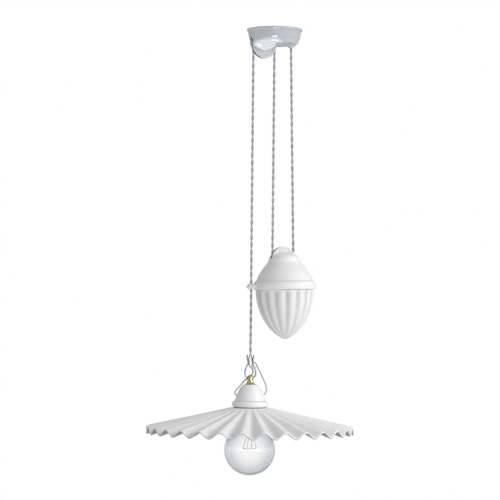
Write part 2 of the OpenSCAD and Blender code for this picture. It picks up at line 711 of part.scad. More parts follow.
module tip_insert() {
    color("goldenrod") body_frame() translate([0, 0, tip_floor_z - insert_h])
        ring(insert_r - 0.05, rod_r + run_gap, insert_h);
}

// ---- Cord hook and knot ----

module cord_hook() {
    wire_r = hook_wire_d / 2;
    side = smooth(hook_route, 2);
    last = len(side) - 1;
    color("silver") lamp_frame() union() {
        translate([-5.2, 0, 0]) rotate([0, 90, 0]) cylinder(r = wire_r, h = 10.4);
        for (way = [-1, 1]) tube([for (i = [0:last]) [way * side[i].x, 0, side[i].z]], 0.96 * wire_r, 10);
    }
}

module cord_knot() {
    color("gainsboro") lamp_frame() rotate_extrude($fn = 32) polygon(concat(
        [for (a = [-90:15:60]) [knot_r * cos(a), knot_z + knot_half_h * sin(a)]],
        [[cord_r, knot_z + knot_half_h + 0.6], [cord_r, knot_top_z], [0, knot_top_z]]));
}

module conductor_right() {
    color("gainsboro") lamp_frame() tube(smooth(concat(right_route, inlet_route(1)), 3), conductor_r);
}
module conductor_left() {
    color("gainsboro") lamp_frame() tube(smooth(concat(left_route, inlet_route(-1)), 3), conductor_r);
}

// ---- Lamp ----

module hook_stem() {
    wire_bore = hook_wire_d / 2 + run_gap;
    color("gold") lamp_frame() difference() {
        rotate_extrude() polygon(concat(arc([0, -1.4], 6, 90, 0, 9),
            [[5.7, -4.5], [5.9, -7.6], [7, -10.4], [9, -12], [10.3, -12.8], [10.4, cover_top_z],
                [0, cover_top_z]]));
        rotate([0, 90, 0]) translate([0, 0, -cover_top_r]) cylinder(r = wire_bore, h = 2 * cover_top_r);
        for (side = [-1, 1]) rotate([0, side * 90, 0]) translate([0, 0, 4.4])
            cylinder(r1 = wire_bore, r2 = wire_bore + 1.4, h = 2);
        translate([0, 0, cover_top_z - past])
            cylinder(r = nipple_r + run_gap, h = nipple_in_stem + 0.5 + past);
    }
}

module nipple() {
    low = bridge_z - bridge_t - nut_t - 1;
    color("silver") lamp_frame() translate([0, 0, low])
        ring(nipple_r, nipple_bore_r, cover_top_z + nipple_in_stem - low);
}

module nipple_nuts() {
    color("silver") lamp_frame() for (z = [bridge_z, bridge_z - bridge_t - nut_t]) translate([0, 0, z])
        difference() {
        cylinder(r = 8, h = nut_t, $fn = 6);
        translate([0, 0, -past]) cylinder(r = nipple_r + run_gap, h = nut_t + 2 * past);
    }
}

// The cover's profile, drawn in by a wall, from its top to the foot above the collar
function cover_side(wall) = let (top_r = cover_top_r - wall / 2, foot = cover_foot_r - wall,
        drop = cover_h - collar_h - wall)
    [for (u = [0:0.1:1]) [top_r + (foot - top_r) * u, cover_top_z - wall - drop * pow(u, cover_curve)]];

module holder_cover() {
    edge = 3.3; // rounding over and under the collar
    color("whitesmoke") lamp_frame() difference() {
        rotate_extrude($fn = 96) polygon(concat([[0, cover_top_z]], cover_side(0),
            arc([collar_r - edge, cover_low_z + collar_h - edge], edge, 90, 0, 6),
            arc([collar_r - edge, cover_low_z + edge], edge, 0, -90, 5), [[0, cover_low_z]]));
        rotate_extrude($fn = 96) polygon(concat([[0, cover_top_z - cover_wall]], cover_side(cover_wall),
            [[cover_foot_r - cover_wall, cover_low_z - past], [0, cover_low_z - past]]));
        translate([0, 0, cover_top_z - cover_wall - past])
            cylinder(r = nipple_r + loose_gap, h = cover_wall + 2 * past);
        inlets() translate([0, 0, -2 * cover_wall]) cylinder(r = inlet_bush_r + 0.05, h = 4 * cover_wall);
    }
}

module inlet_bushes() {
    color("ivory") lamp_frame() inlets() translate([0, 0, -cover_wall - 0.6])
        ring(inlet_bush_r, inlet_r, cover_wall + 0.6 + inlet_out);
}

module holder_bridge() {
    drop = bridge_z - holder_top_z;
    color("silver") lamp_frame() difference() {
        union() {
            translate([-bridge_w / 2, -bridge_y - 2, bridge_z - bridge_t])
                cube([bridge_w, 2 * bridge_y + 4, bridge_t]);
            for (side = [-1, 1]) translate([-3.5, side * (bridge_y + 1.25) - 0.75, holder_top_z])
                cube([7, 1.5, drop - 0.2]);
            for (side = [-1, 1]) translate([-3.5, side * (bridge_y + 3) - 2.5, holder_top_z])
                cube([7, 5, 1.2]);
        }
        translate([0, 0, bridge_z - bridge_t - past])
            cylinder(r = nipple_r + run_gap, h = bridge_t + 2 * past);
        for (side = [-1, 1]) translate([0, side * (bridge_y + 3.6), holder_top_z - past])
            cylinder(r = 1.1, h = 1.2 + 2 * past, $fn = 32);
    }
}

module bridge_screws() {
    color("silver") lamp_frame() for (side = [-1, 1]) translate([0, side * (bridge_y + 3.6), holder_top_z]) {
        translate([0, 0, -3.8]) cylinder(r = 1, h = 5, $fn = 32);
        translate([0, 0, 1.2]) cylinder(r = 1.5, h = 1.2, $fn = 32);
    }
}

module lampholder_body() {
    color("whitesmoke") lamp_frame() difference() {
        translate([0, 0, holder_low_z]) cylinder(r = skirt_r - 0.2, h = holder_top_z - holder_low_z);
        translate([0, 0, holder_low_z - past])
            cylinder(r = shell_r + 0.1, h = holder_top_z - holder_floor_t - holder_low_z + past);
        for (side = [-1, 1]) translate([0, side * (bridge_y + 3.6), holder_top_z - 4.2])
            cylinder(r = 1.05, h = 5, $fn = 32);
    }
}

module holder_terminals() {
    color("goldenrod") lamp_frame() for (side = [-1, 1])
        translate([side * terminal_x - terminal.x / 2, -terminal.y / 2, holder_top_z]) difference() {
            cube(terminal);
            translate([terminal.x / 2, terminal.y / 2, terminal.z - 2.4]) cylinder(r = 1.55, h = 3, $fn = 32);
        }
}

module holder_terminal_screws() {
    color("goldenrod") lamp_frame() for (side = [-1, 1])
        translate([side * terminal_x, 0, holder_top_z + terminal.z - 2.4]) difference() {
            cylinder(r = 1.5, h = 3.6, $fn = 32);
            translate([-2, -0.3, 2.8]) cube([4, 0.6, 2]);
        }
}

module screw_shell() {
    color("goldenrod") lamp_frame() translate([0, 0, holder_low_z + 4])
        ring(shell_r, shell_in_r, holder_top_z - holder_floor_t - 2 - holder_low_z - 4);
}

module centre_contact() {
    color("goldenrod") lamp_frame() translate([0, 0, tip_z + 0.1]) union() {
        cylinder(r = 3.2, h = holder_top_z - holder_floor_t - tip_z - 0.1);
        translate([0, -2, 0.4]) cube([9, 4, 1]);
    }
}

module shade_seal() {
    color("dimgray") lamp_frame() translate([0, 0, shade_z])
        ring(collar_r - 4, shade_hole_r + 0.4, shade_seal_t);
}

// Height of the pleated surface at radius r and angle a, below the top plate
function pleat_at(r, a) = let (t = max(0, (r - shade_plate_r) / (shade_r - shade_plate_r)))
    -(shade_drop * t) - pleat_depth / 2 * pow(t, 1.15) * cos(pleats * a);

module shade() {
    per_pleat = 8;
    count = pleats * per_pleat;
    radii = [for (t = [0, 0.18, 0.36, 0.54, 0.7, 0.85, 1]) shade_plate_r + (shade_r - shade_plate_r) * t];
    function loop(r, drop) = [for (k = [0:count - 1]) let (a = 360 * k / count)
        [r * cos(a), r * sin(a), shade_z + pleat_at(r, a) - drop]];
    color("whitesmoke") lamp_frame() ring_of_loops(concat(
        [loop(shade_hole_r, 0)], [for (r = radii) loop(r, 0)],
        [for (i = [len(radii) - 1:-1:0]) loop(radii[i], shade_wall)], [loop(shade_hole_r, shade_wall)]));
}

module shade_ring() {
    color("ivory") lamp_frame() translate([0, 0, shade_z - shade_wall - ring_h]) difference() {
        cylinder(r = ring_r, h = ring_h, $fn = 96);
        translate([0, 0, -past]) cylinder(r = skirt_r - 0.2 + loose_gap, h = ring_h + 2 * past);
        for (a = [0:15:345]) rotate([0, 0, a]) translate([ring_r, 0, -past])
            cylinder(r = 1.2, h = ring_h + 2 * past, $fn = 24);
    }
}

// ---- Bulb ----

// The bulb's glass, drawn in by a wall: the globe and the neck that it narrows to
function glass_side(wall) = let (join = 32, r = bulb_r - wall, neck = glass_neck_r - wall,
        at = [r * sin(join), globe_z + r * cos(join)])
    concat([for (a = [180:-8:join + 4]) [r * sin(a), globe_z + r * cos(a)]],
        [for (i = [0:8]) let (t = i / 8, bend = pow(1 - t, 2.2)) [neck + (at.x - neck) * bend,
            at.y + (glass_top_z - 9 - at.y) * t]],
        [[neck, glass_top_z]]);

module bulb_glass() {
    outer = glass_side(0);
    inner = glass_side(glass_wall);
    color("lightblue", 0.4) lamp_frame() rotate_extrude($fn = 96)
        polygon(concat(outer, [for (i = [len(inner) - 1:-1:0]) inner[i]]));
}

module bulb_cap() {
    turns = floor((bulb_cap_h - 4) / thread_pitch);
    crest = [for (i = [0:turns * 8]) let (z = bulb_cap_z - 1.5 - i * thread_pitch / 8)
        [bulb_cap_r - thread_depth * (0.5 - 0.5 * cos(45 * i)), z]];
    color("silver") lamp_frame() rotate_extrude() polygon(concat(
        [[11, bulb_cap_z], [bulb_cap_r - 0.8, bulb_cap_z - 0.2]], crest,
        [[bulb_cap_r, bulb_cap_z - bulb_cap_h], [glass_neck_r + 0.1, bulb_cap_z - bulb_cap_h],
            [glass_neck_r + 0.1, bulb_cap_z - bulb_cap_t - 0.3], [11, bulb_cap_z - bulb_cap_t]]));
}

module bulb_insulator() {
    color("black") lamp_frame() rotate_extrude() polygon([[0, tip_z - tip_h], [5, tip_z - tip_h],
        [10.8, bulb_cap_z], [10.8, bulb_cap_z - bulb_cap_t - 1], [0, bulb_cap_z - bulb_cap_t - 1]]);
}

module bulb_contact() {
    color("silver") lamp_frame() translate([0, 0, tip_z - tip_h]) rotate_extrude()
        polygon(concat([[0, 0], [4.7, 0]], arc([3.7, 0.4], 1, 0, 90, 4), [[0, tip_h]]));
}

module bulb_stem() {
    flare = glass_neck_r - glass_wall - 0.3;
    color("lightblue", 0.5) lamp_frame() rotate_extrude() polygon([[0, glass_top_z], [flare, glass_top_z],
        [flare, glass_top_z - 1], [5, glass_top_z - 9], [3.6, glass_top_z - 16], [2.6, stem_low_z + 6],
        [2.6, stem_low_z + 3], [3.4, stem_low_z + 1.5], [2.2, stem_low_z], [0, stem_low_z]]);
}

// Two lead wires and two supports that stand out of the stem's foot
module bulb_wires() {
    wire_r = 0.45;
    start_z = stem_low_z + 4.5;
    color("silver") lamp_frame() for (a = [0:90:270]) rotate([0, 0, a])
        tube([[2.9, 0, start_z], [6, 0, start_z - 3], [filament_r - 1, 0, filament_z + 6],
            [filament_r, 0, filament_z + 0.9]],
            wire_r, 6);
}

// The filament: three quarters of a ring on the ends of the wires
module bulb_filament() {
    color("orange") lamp_frame() translate([0, 0, filament_z]) rotate_extrude(angle = 270, $fn = 96)
        translate([filament_r, 0]) circle(r = 0.6, $fn = 16);
}

ceiling_plate();
plate_pillars();
pulley_yoke();
yoke_rivets();
rose_axle();
rose_pulley();
rose_pulley_bush();
rose_shell();
rose_screws();
outlet_bush();
cord_anchor();
anchor_screws();
terminal_block();
terminal_screws();
cord_tail();
cord_over_rose_pulley();
cord_fixed_run();
cord_middle_run();
cord_lamp_run();
weight_cap();
weight_bowl();
weight_seal();
weight_fork();
weight_axle();
weight_pulley();
weight_pulley_bush();
cord_under_weight_pulley();
tie_rod();
rod_nuts();
ballast();
tip_insert();
cord_hook();
cord_knot();
conductor_left();
conductor_right();
hook_stem();
nipple();
nipple_nuts();
holder_cover();
inlet_bushes();
holder_bridge();
bridge_screws();
lampholder_body();
holder_terminals();
holder_terminal_screws();
screw_shell();
centre_contact();
shade_seal();
shade();
shade_ring();
bulb_glass();
bulb_cap();
bulb_insulator();
bulb_contact();
bulb_stem();
bulb_wires();
bulb_filament();
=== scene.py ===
from math import atan2, ceil, cos, hypot, pi, radians, sin

import bpy
from bpy.types import Operator, Panel, PropertyGroup
from mathutils import Matrix, Vector


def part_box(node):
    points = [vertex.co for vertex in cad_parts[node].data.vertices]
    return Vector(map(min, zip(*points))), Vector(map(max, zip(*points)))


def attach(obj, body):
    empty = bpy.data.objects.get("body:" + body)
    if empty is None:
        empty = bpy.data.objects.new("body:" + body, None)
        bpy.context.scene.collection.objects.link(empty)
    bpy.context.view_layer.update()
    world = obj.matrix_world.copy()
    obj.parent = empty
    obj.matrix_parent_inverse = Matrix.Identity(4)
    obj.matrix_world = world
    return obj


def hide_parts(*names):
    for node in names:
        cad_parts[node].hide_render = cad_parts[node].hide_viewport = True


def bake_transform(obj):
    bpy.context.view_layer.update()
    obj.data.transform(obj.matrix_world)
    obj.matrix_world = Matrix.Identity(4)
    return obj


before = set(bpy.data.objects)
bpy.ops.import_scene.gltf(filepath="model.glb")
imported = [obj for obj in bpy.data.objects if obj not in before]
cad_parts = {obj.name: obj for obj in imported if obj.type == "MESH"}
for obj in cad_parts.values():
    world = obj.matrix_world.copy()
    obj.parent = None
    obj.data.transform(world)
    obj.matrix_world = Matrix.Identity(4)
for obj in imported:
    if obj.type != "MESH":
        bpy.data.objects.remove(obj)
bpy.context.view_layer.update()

bl_info = {
    "name": "Rise and fall pendant",
    "version": (1, 0, 0),
    "blender": (4, 5, 0),
    "location": "View3D > Sidebar > Pendant",
    "description": "Glazed rose, fluted counterweight, twisted cord, pleated shade and globe bulb",
    "category": "Object",
}

MM = 0.001


def middle(node):
    """Centre of a CAD node, in metres."""
    low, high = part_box(node)
    return (low + high) / 2


def width(node, axis=0):
    """Size of a CAD node along an axis, in metres."""
    low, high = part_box(node)
    return high[axis] - low[axis]


ROSE_WHEEL = middle("rose_pulley")
WEIGHT_WHEEL = middle("weight_pulley")
PITCH_R = 0.021  # of the cord's middle on both wheels
LAMP_X, FIXED_X = ROSE_WHEEL.x - PITCH_R, WEIGHT_WHEEL.x + PITCH_R
STEM_OVER_PIN = 0.0046
PIN_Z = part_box("hook_stem")[1].z - STEM_OVER_PIN
LEAN = radians(-1.4)
OFFSET = 2.5  # of the cap and bowl from the wheel, in millimetres
BODY = (Matrix.Translation((WEIGHT_WHEEL.x, 0, WEIGHT_WHEEL.z)) @ Matrix.Rotation(LEAN, 4, "Y")
        @ Matrix.Translation((OFFSET * MM, 0, 0)))
LAMP = Matrix.Translation((LAMP_X, 0, PIN_Z))


# ---- Settings ----

def length(name, description, default):
    return bpy.props.FloatProperty(
        name=name, description=description, default=default, subtype="DISTANCE", unit="LENGTH")


def number(name, description, default, **limits):
    return bpy.props.FloatProperty(name=name, description=description, default=default, min=0, **limits)


def tint(name, description, default):
    return bpy.props.FloatVectorProperty(
        name=name, description=description, default=(*default, 1), size=4, min=0, max=1, subtype="COLOR")


class RoseSettings(PropertyGroup):
    radius: length("Rim radius", "Radius over the rose's rim", width("rose_shell", 1) / 2)
    height: length("Height", "Height of the rose without its pulley hood", 0.0295)
    wall: length("Wall", "Thickness of the rose's wall", 0.0045)
    glaze: tint("Glaze", "Cool white glaze of the rose", (0.56, 0.6, 0.635))
    gloss: number("Glaze roughness", "Roughness of the rose's glaze", 0.13, max=1)


class WeightSettings(PropertyGroup):
    flutes: bpy.props.IntProperty(
        name="Flutes", description="Flutes round the bowl", default=16, min=8)
    flute_depth: length("Flute depth", "Depth of the flutes at the rim of the bowl", 0.0032)
    knob_radius: length("Knob radius", "Radius of the rounded top of the cap", 0.029)
    glaze: tint("Glaze", "Satin white glaze of the counterweight and shade", (0.87, 0.862, 0.862))


class CordSettings(PropertyGroup):
    core: length("Core diameter", "Diameter of one covered conductor", 0.0026)
    lay: length("Lay", "Length in which the cores turn once round each other", 0.028)
    thread: tint("Light thread", "Colour of the braid's light threads", (0.72, 0.71, 0.75))
    tracer: tint("Dark thread", "Colour of the braid's dark threads", (0.33, 0.33, 0.4))


class ShadeSettings(PropertyGroup):
    radius: length("Radius", "Radius of the shade over its rim", width("shade") / 2)
    pleats: bpy.props.IntProperty(
        name="Pleats", description="Pleats round the shade", default=30, min=12)
    depth: length("Pleat depth", "Depth of the pleats at the rim", 0.011)
    wall: length("Wall", "Thickness of the shade", 0.0036)


class BulbSettings(PropertyGroup):
    radius: length("Globe radius", "Radius of the bulb's globe", width("bulb_glass") / 2)
    wall: length("Glass", "Thickness of the bulb's glass", 0.0009)
    # The glass tint shows towards the globe's edge, partly as a painted reflection.
    tint: tint("Glass tint", "Colour of the bulb's glass", (0.76, 0.79, 0.82))


class StageSettings(PropertyGroup):
    key_power: number("Key light", "Power of the large soft light, in watts", 5.7)
    ambient: number("Ambient", "Strength of the even light from all round", 0.505)
    floor_drop: length("Floor", "Drop from the ceiling to the floor", 2.6)


# ---- Drawing helpers ----

def shares(steps):
    """Even steps from 0 to 1."""
    return [i / steps for i in range(steps + 1)]


def arc(x, z, radius, start, end, steps):
    """Points of an arc in a half section, in millimetres and degrees."""
    turn = [radians(start + (end - start) * t) for t in shares(steps)]
    return [(x + radius * cos(a), z + radius * sin(a)) for a in turn]


def smooth_line(points, steps=6):
    """A smooth curve through points, with steps between each two."""
    rows, last = [Vector(p) for p in points], len(points) - 1
    line = []
    for i in range(last):
        a, b, c, d = rows[max(i - 1, 0)], rows[i], rows[i + 1], rows[min(i + 2, last)]
        square, cube = 2 * a - 5 * b + 4 * c - d, 3 * b - 3 * c + d - a
        line += [b + ((c - a) * t + square * t * t + cube * t ** 3) / 2 for t in shares(steps)[:-1]]
    return line + [rows[last]]


def in_lamp(line):
    """A line in the lamp's frame, in millimetres, taken to the scene."""
    return [LAMP @ (p * MM) for p in line]


def deselect():
    """Deselects everything."""
    bpy.ops.object.select_all(action="DESELECT")


def take(piece):
    """Makes one object the only selected and active one."""
    deselect()
    piece.select_set(True)
    bpy.context.view_layer.objects.active = piece


def settle(piece, place=None):
    """Puts a piece at a place and writes that place into its mesh."""
    take(piece)
    if place is not None:
        piece.matrix_world = place @ piece.matrix_world
    bpy.ops.object.transform_apply(location=True, rotation=True, scale=True)
    return piece


def added(name, data):
    """Puts data into the scene as an object."""
    made = bpy.data.objects.new(name, data)
    bpy.context.scene.collection.objects.link(made)
    return made


def dress(piece, finish):
    """Gives a piece a finish and no other."""
    piece.data.materials.clear()
    piece.data.materials.append(MATERIALS[finish])


def shift(x, z=0):
    """A place beside the origin, in millimetres."""
    return Matrix.Translation((x * MM, 0, z * MM))


def turned(name, section, steps=128, place=None):
    """A turned piece: its half section, in millimetres, is drawn and spun about Z."""
    deselect()
    mesh = bpy.ops.mesh
    points = [(x * MM, z * MM) for x, z in section]
    mesh.primitive_plane_add(size=MM, location=(points[0][0], 0, points[0][1]))
    piece = bpy.context.object
    piece.name = piece.data.name = name
    settle(piece)
    bpy.ops.object.mode_set(mode="EDIT")
    mesh.merge(type="CENTER")
    for (x0, z0), (x1, z1) in zip(points, points[1:] + points[:1]):
        mesh.extrude_region_move(TRANSFORM_OT_translate={"value": (x1 - x0, 0, z1 - z0)})
    mesh.select_all(action="SELECT")
    mesh.remove_doubles(threshold=1e-6)
    mesh.spin(steps=steps, angle=2 * pi, center=(0, 0, 0), axis=(0, 0, 1))
    mesh.select_all(action="SELECT")
    mesh.remove_doubles(threshold=1e-6)
    mesh.normals_make_consistent(inside=False)
    bpy.ops.object.mode_set(mode="OBJECT")
    return settle(piece, place)


def rod(radius, length, centre, direction=(0, 0, 1), end_radius=None, sides=64):
    """A round cutter, in millimetres, with its middle at centre."""
    deselect()
    bpy.ops.mesh.primitive_cone_add(
        vertices=sides, radius1=radius * MM, radius2=(end_radius or radius) * MM,
        depth=length * MM, location=Vector(centre) * MM,
        rotation=Vector(direction).to_track_quat("Z", "Y").to_euler())
    return settle(bpy.context.object)


def block(low, high):
    """A square cutter between two corners, in millimetres."""
    deselect()
    low, high = Vector(low) * MM, Vector(high) * MM
    bpy.ops.mesh.primitive_cube_add(size=1, location=(low + high) / 2, scale=high - low)
    return settle(bpy.context.object)


def applied(piece, kind, **values):
    """Adds a modifier with its values and applies it."""
    take(piece)
    modifier = piece.modifiers.new(kind.title(), kind)
    for key, value in values.items():
        setattr(modifier, key, value)
    bpy.ops.object.modifier_apply(modifier=modifier.name)


def combine(piece, others, how="DIFFERENCE"):
    """Cuts, joins or crosses a piece with others, which are used up."""
    for other in others:
        applied(piece, "BOOLEAN", operation=how, object=other, solver="EXACT")
        bpy.data.objects.remove(other)
    return piece


def weigh(piece, name, share):
    """A vertex group whose weights come from a function of the point, in millimetres."""
    group = piece.vertex_groups.new(name=name)
    for vertex in piece.data.vertices:
        amount = share(vertex.co / MM)
        if amount > 0:
            group.add([vertex.index], min(1.0, amount), "REPLACE")
    return group.name


def push(piece, name, share, distance, direction):
    """Moves a surface in or out by a share of a distance, through a weighted Displace."""
    applied(piece, "DISPLACE", vertex_group=weigh(piece, name, share), mid_level=0,
            strength=distance, direction=direction)


def mark(piece, name, share):
    """A number on each vertex that the materials read, such as pooled glaze with painted shade, and painted
    highlights.
    """
    numbers = piece.data.attributes.new(name, "FLOAT", "POINT")
    numbers.data.foreach_set("value", [share(v.co / MM) for v in piece.data.vertices])


def near(value, centre, half):
    """1 at a centre, falling to 0 at half a width from it."""
    return max(0, 1 - abs(value - centre) / half)


def softened(piece, voxel, junction):
    """Fired clay: an even mesh whose edges have run smooth, most of all at a junction."""
    applied(piece, "REMESH", mode="VOXEL", voxel_size=voxel * MM)
    applied(piece, "SMOOTH", factor=0.5, iterations=110, vertex_group=weigh(piece, "junction", junction))
    applied(piece, "SMOOTH", factor=0.5, iterations=3)


def tube(name, lines, radius, sides=12):
    """Covered conductors along lines, with turns round each and metres along it as UV map."""
    points, faces, uvs = [], [], []
    for line in lines:
        rows, first, along, side = [Vector(p) for p in line], len(points), 0.0, Vector((0, 1, 0))
        for i, here in enumerate(rows):
            ahead = (rows[min(i + 1, len(rows) - 1)] - rows[max(i - 1, 0)]).normalized()
            side = (side - ahead * side.dot(ahead)).normalized()
            other = ahead.cross(side)
            points += [here + radius * (cos(2 * pi * t) * side + sin(2 * pi * t) * other)
                       for t in shares(sides)[:-1]]
            if i:
                step = (here - rows[i - 1]).length
                for k in range(sides):
                    low, high, n = first + (i - 1) * sides, first + i * sides, (k + 1) % sides
                    faces.append((low + k, low + n, high + n, high + k))
                    uvs += [(u / sides, along + v) for u, v in ((k, 0), (k + 1, 0), (k + 1, step), (k, step))]
                along += step
        faces += [list(range(first + sides - 1, first - 1, -1)), list(range(len(points) - sides, len(points)))]
        uvs += [(0, 0)] * 2 * sides
    mesh = bpy.data.meshes.new(name)
    mesh.from_pydata(points, [], faces)
    layer = mesh.uv_layers.new(name="along")
    layer.data.foreach_set("uv", [c for uv in uvs for c in uv])
    mesh.polygons.foreach_set("use_smooth", [True] * len(mesh.polygons))
    return added(name, mesh)


def wire(name, line, radius, roundness):
    """Bent round wire along a line, in metres."""
    deselect()
    curve = bpy.data.curves.new(name, "CURVE")
    curve.dimensions, curve.bevel_depth, curve.bevel_resolution = "3D", radius, roundness
    curve.use_fill_caps = True
    spline = curve.splines.new("POLY")
    spline.points.add(len(line) - 1)
    spline.points.foreach_set("co", [c for p in line for c in (*p, 1)])
    piece = added(name, curve)
    take(piece)
    bpy.ops.object.convert(target="MESH")
    piece.data.name = name
    return settle(piece)


def finished(piece, body, finish, node, crease, place=None):
    """Puts a piece at its place, shades it up to a crease angle, gives it its finish, hides its CAD node and parents
    it to its body; a piece given between two bodies only has its place written into its mesh.
    """
    settle(piece, place)
    if crease:
        bpy.ops.object.shade_smooth_by_angle(angle=radians(crease))
    piece.vertex_groups.clear()
    dress(piece, finish)
    if isinstance(body, str):
        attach(piece, body)
    else:
        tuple(body[2])
        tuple(body[3])
        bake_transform(piece)
    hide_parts(node)


# ---- Materials ----

class Nodes:
    """Adds nodes to one tree. A value that is a socket is linked, and any other is set."""

    def __init__(self, tree):
        self.tree = tree

    def feed(self, node, values):
        for key, value in values.items():
            if isinstance(value, bpy.types.NodeSocket):
                self.tree.links.new(value, node.inputs[key])
            else:
                node.inputs[key].default_value = value

    def put(self, kind, values=None, **settings):
        made = self.tree.nodes.new("ShaderNode" + kind)
        for key, value in settings.items():
            setattr(made, key, value)
        self.feed(made, values or {})
        return made

    def maths(self, operation, first, second=0.0, clamp=False):
        return self.put("Math", {0: first, 1: second}, operation=operation, use_clamp=clamp).outputs[0]

    def times(self, first, second, clamp=False):
        return self.maths("MULTIPLY", first, second, clamp)

    def plus(self, first, second, clamp=False):
        return self.maths("ADD", first, second, clamp)

    def between(self, share, first, second):
        """A mix of two colours."""
        return self.put("Mix", {0: share, 6: first, 7: second}, data_type="RGBA").outputs[2]

    def spread(self, value, low, high, to_low=0.0, to_high=1.0):
        """Stretches a range of a value over another range."""
        return self.put("MapRange", {0: value, 1: low, 2: high, 3: to_low, 4: to_high}).outputs[0]

    def place(self):
        return self.put("TexCoord").outputs["Object"]

    def noise(self, vector, scale, detail=2.0, roughness=0.5):
        return self.put("TexNoise", {
            "Vector": vector, "Scale": scale, "Detail": detail, "Roughness": roughness}).outputs[0]

    def numbers(self, name):
        """A number that the mesh holds on each vertex."""
        return self.put("Attribute", attribute_name=name).outputs["Fac"]

    def bump(self, strength, distance, height):
        return self.put("Bump", {
            "Strength": strength, "Distance": distance, "Height": height}).outputs["Normal"]


LIGHT, DARK = (0.8, 0.8, 0.8, 1), (0.4, 0.4, 0.4, 1)


def new_group(name, inputs):
    """A node group with named inputs, and a colour, a roughness and a height as outputs."""
    tree = bpy.data.node_groups.new(name, "ShaderNodeTree")
    for label, value in inputs.items():
        kind = "NodeSocketFloat" if isinstance(value, float) else "NodeSocketColor"
        tree.interface.new_socket(name=label, in_out="INPUT", socket_type=kind).default_value = value
    for label, kind in (("Colour", "NodeSocketColor"), ("Roughness", "NodeSocketFloat"),
                        ("Height", "NodeSocketFloat")):
        tree.interface.new_socket(name=label, in_out="OUTPUT", socket_type=kind)
    return Nodes(tree), tree.nodes.new("NodeGroupInput").outputs


def close_group(n, colour, roughness, height):
    """Leads a group's results out of it."""
    n.feed(n.tree.nodes.new("NodeGroupOutput"), {"Colour": colour, "Roughness": roughness, "Height": height})
    return n.tree


def glaze_group():
    """Fired glaze: cloudy tint, pooled glaze with painted shade in hollows, a painted highlight and painted shade
    where marked, painted groove shade, pinholes and a slow ripple.
    """
    n, given = new_group("Fired glaze", {
        "Colour": LIGHT, "Pooled glaze and shade colour": DARK, "Painted light and shade colour": DARK, "Pooling and shade": 1.0, "Painted groove shade": 0.0,
        "Cloud": 0.5, "Specks": 0.5, "Roughness": 0.3, "Orange peel": 0.5})
    place = n.place()
    fine = n.noise(place, 150, 3)
    # Pooled glaze, darkened further as painted shade in creases, hollows and grooves; the attribute says where.
    warped = n.times(n.numbers("pooled_glaze_and_shade"), n.spread(fine, 0.2, 0.8, 0.75, 1.15))
    cloud = n.times(n.times(n.spread(n.noise(place, 22, 4), 0.35, 0.7), given["Cloud"]), 0.28)
    share = n.plus(n.times(warped, given["Pooling and shade"]), cloud, clamp=True)
    across = n.maths("ABSOLUTE", n.put("SeparateXYZ", {0: place}).outputs[1])
    # Painted shade in the groove of a wheel, near its middle plane.
    groove_shade = n.times(n.spread(across, 0.0032, 0.004, 1, 0), given["Painted groove shade"])
    # Painted light and shade: a painted highlight on the rose's hood, and painted shade under the shade and in a
    # wheel's groove.
    body = n.between(n.plus(n.numbers("painted_light_and_shade"), groove_shade, clamp=True),
                     n.between(share, given["Colour"], given["Pooled glaze and shade colour"]), given["Painted light and shade colour"])
    holes = n.put("TexVoronoi", {"Vector": place, "Scale": 210.0}).outputs["Distance"]
    rare = n.spread(n.noise(place, 75, 1), 0.6, 0.64)
    speck = n.times(n.times(n.spread(holes, 0.07, 0.15, 1, 0), rare), given["Specks"])
    peel = n.times(n.noise(place, 420, 2), n.times(given["Orange peel"], 0.1))
    ripple = n.plus(n.times(n.noise(place, 48, 2), 0.5), peel)
    return close_group(
        n, n.between(speck, body, (0.3, 0.25, 0.2, 1)),
        n.plus(given["Roughness"], n.times(n.spread(fine, 0.3, 0.7), 0.07)),
        n.maths("SUBTRACT", ripple, n.times(speck, 0.35)))


def braid_group():
    """Braid over a conductor: two sets of threads that cross, with dark tracers."""
    n, given = new_group("Braided thread", {
        "Thread": LIGHT, "Tracer": DARK, "Threads round": 6.0, "Threads a metre": 430.0, "Roughness": 0.85})
    turn = n.put("SeparateXYZ", {0: n.put("UVMap", uv_map="along").outputs[0]}).outputs
    around, along = n.times(turn[0], given["Threads round"]), n.times(turn[1], given["Threads a metre"])
    left, right = (n.maths("SINE", n.times(n.maths(way, around, along), 2 * pi)) for way in ("ADD", "SUBTRACT"))
    over = n.times(left, right)
    fibre = n.noise(n.place(), 2600)
    share = n.times(n.spread(over, -0.25, 0.45), n.spread(fibre, 0.2, 0.8, 0.55, 1.0), clamp=True)
    return close_group(
        n, n.between(share, given["Tracer"], given["Thread"]),
        n.plus(given["Roughness"], n.times(fibre, 0.1), clamp=True),
        n.plus(n.maths("ABSOLUTE", over), n.times(fibre, 0.35)))


def metal_group():
    """Worked metal: fine lines turned round it, dulled patches and small scratches."""
    n, given = new_group("Worked metal", {
        "Colour": LIGHT, "Dull colour": DARK, "Dulling": 0.5, "Roughness": 0.3, "Grain": 0.5})
    place = n.place()
    lines = n.noise(n.put("Mapping", {"Vector": place, "Scale": (60.0, 60.0, 2600.0)}).outputs[0], 1)
    patches = n.spread(n.noise(place, 130, 5, 0.6), 0.42, 0.68)
    share = n.times(patches, given["Dulling"], clamp=True)
    dulled = n.plus(given["Roughness"], n.times(patches, 0.16))
    return close_group(
        n, n.between(share, given["Colour"], given["Dull colour"]),
        n.plus(dulled, n.times(lines, 0.08), clamp=True),
        n.plus(n.times(lines, given["Grain"]), n.times(n.noise(place, 900, 3), 0.25)))


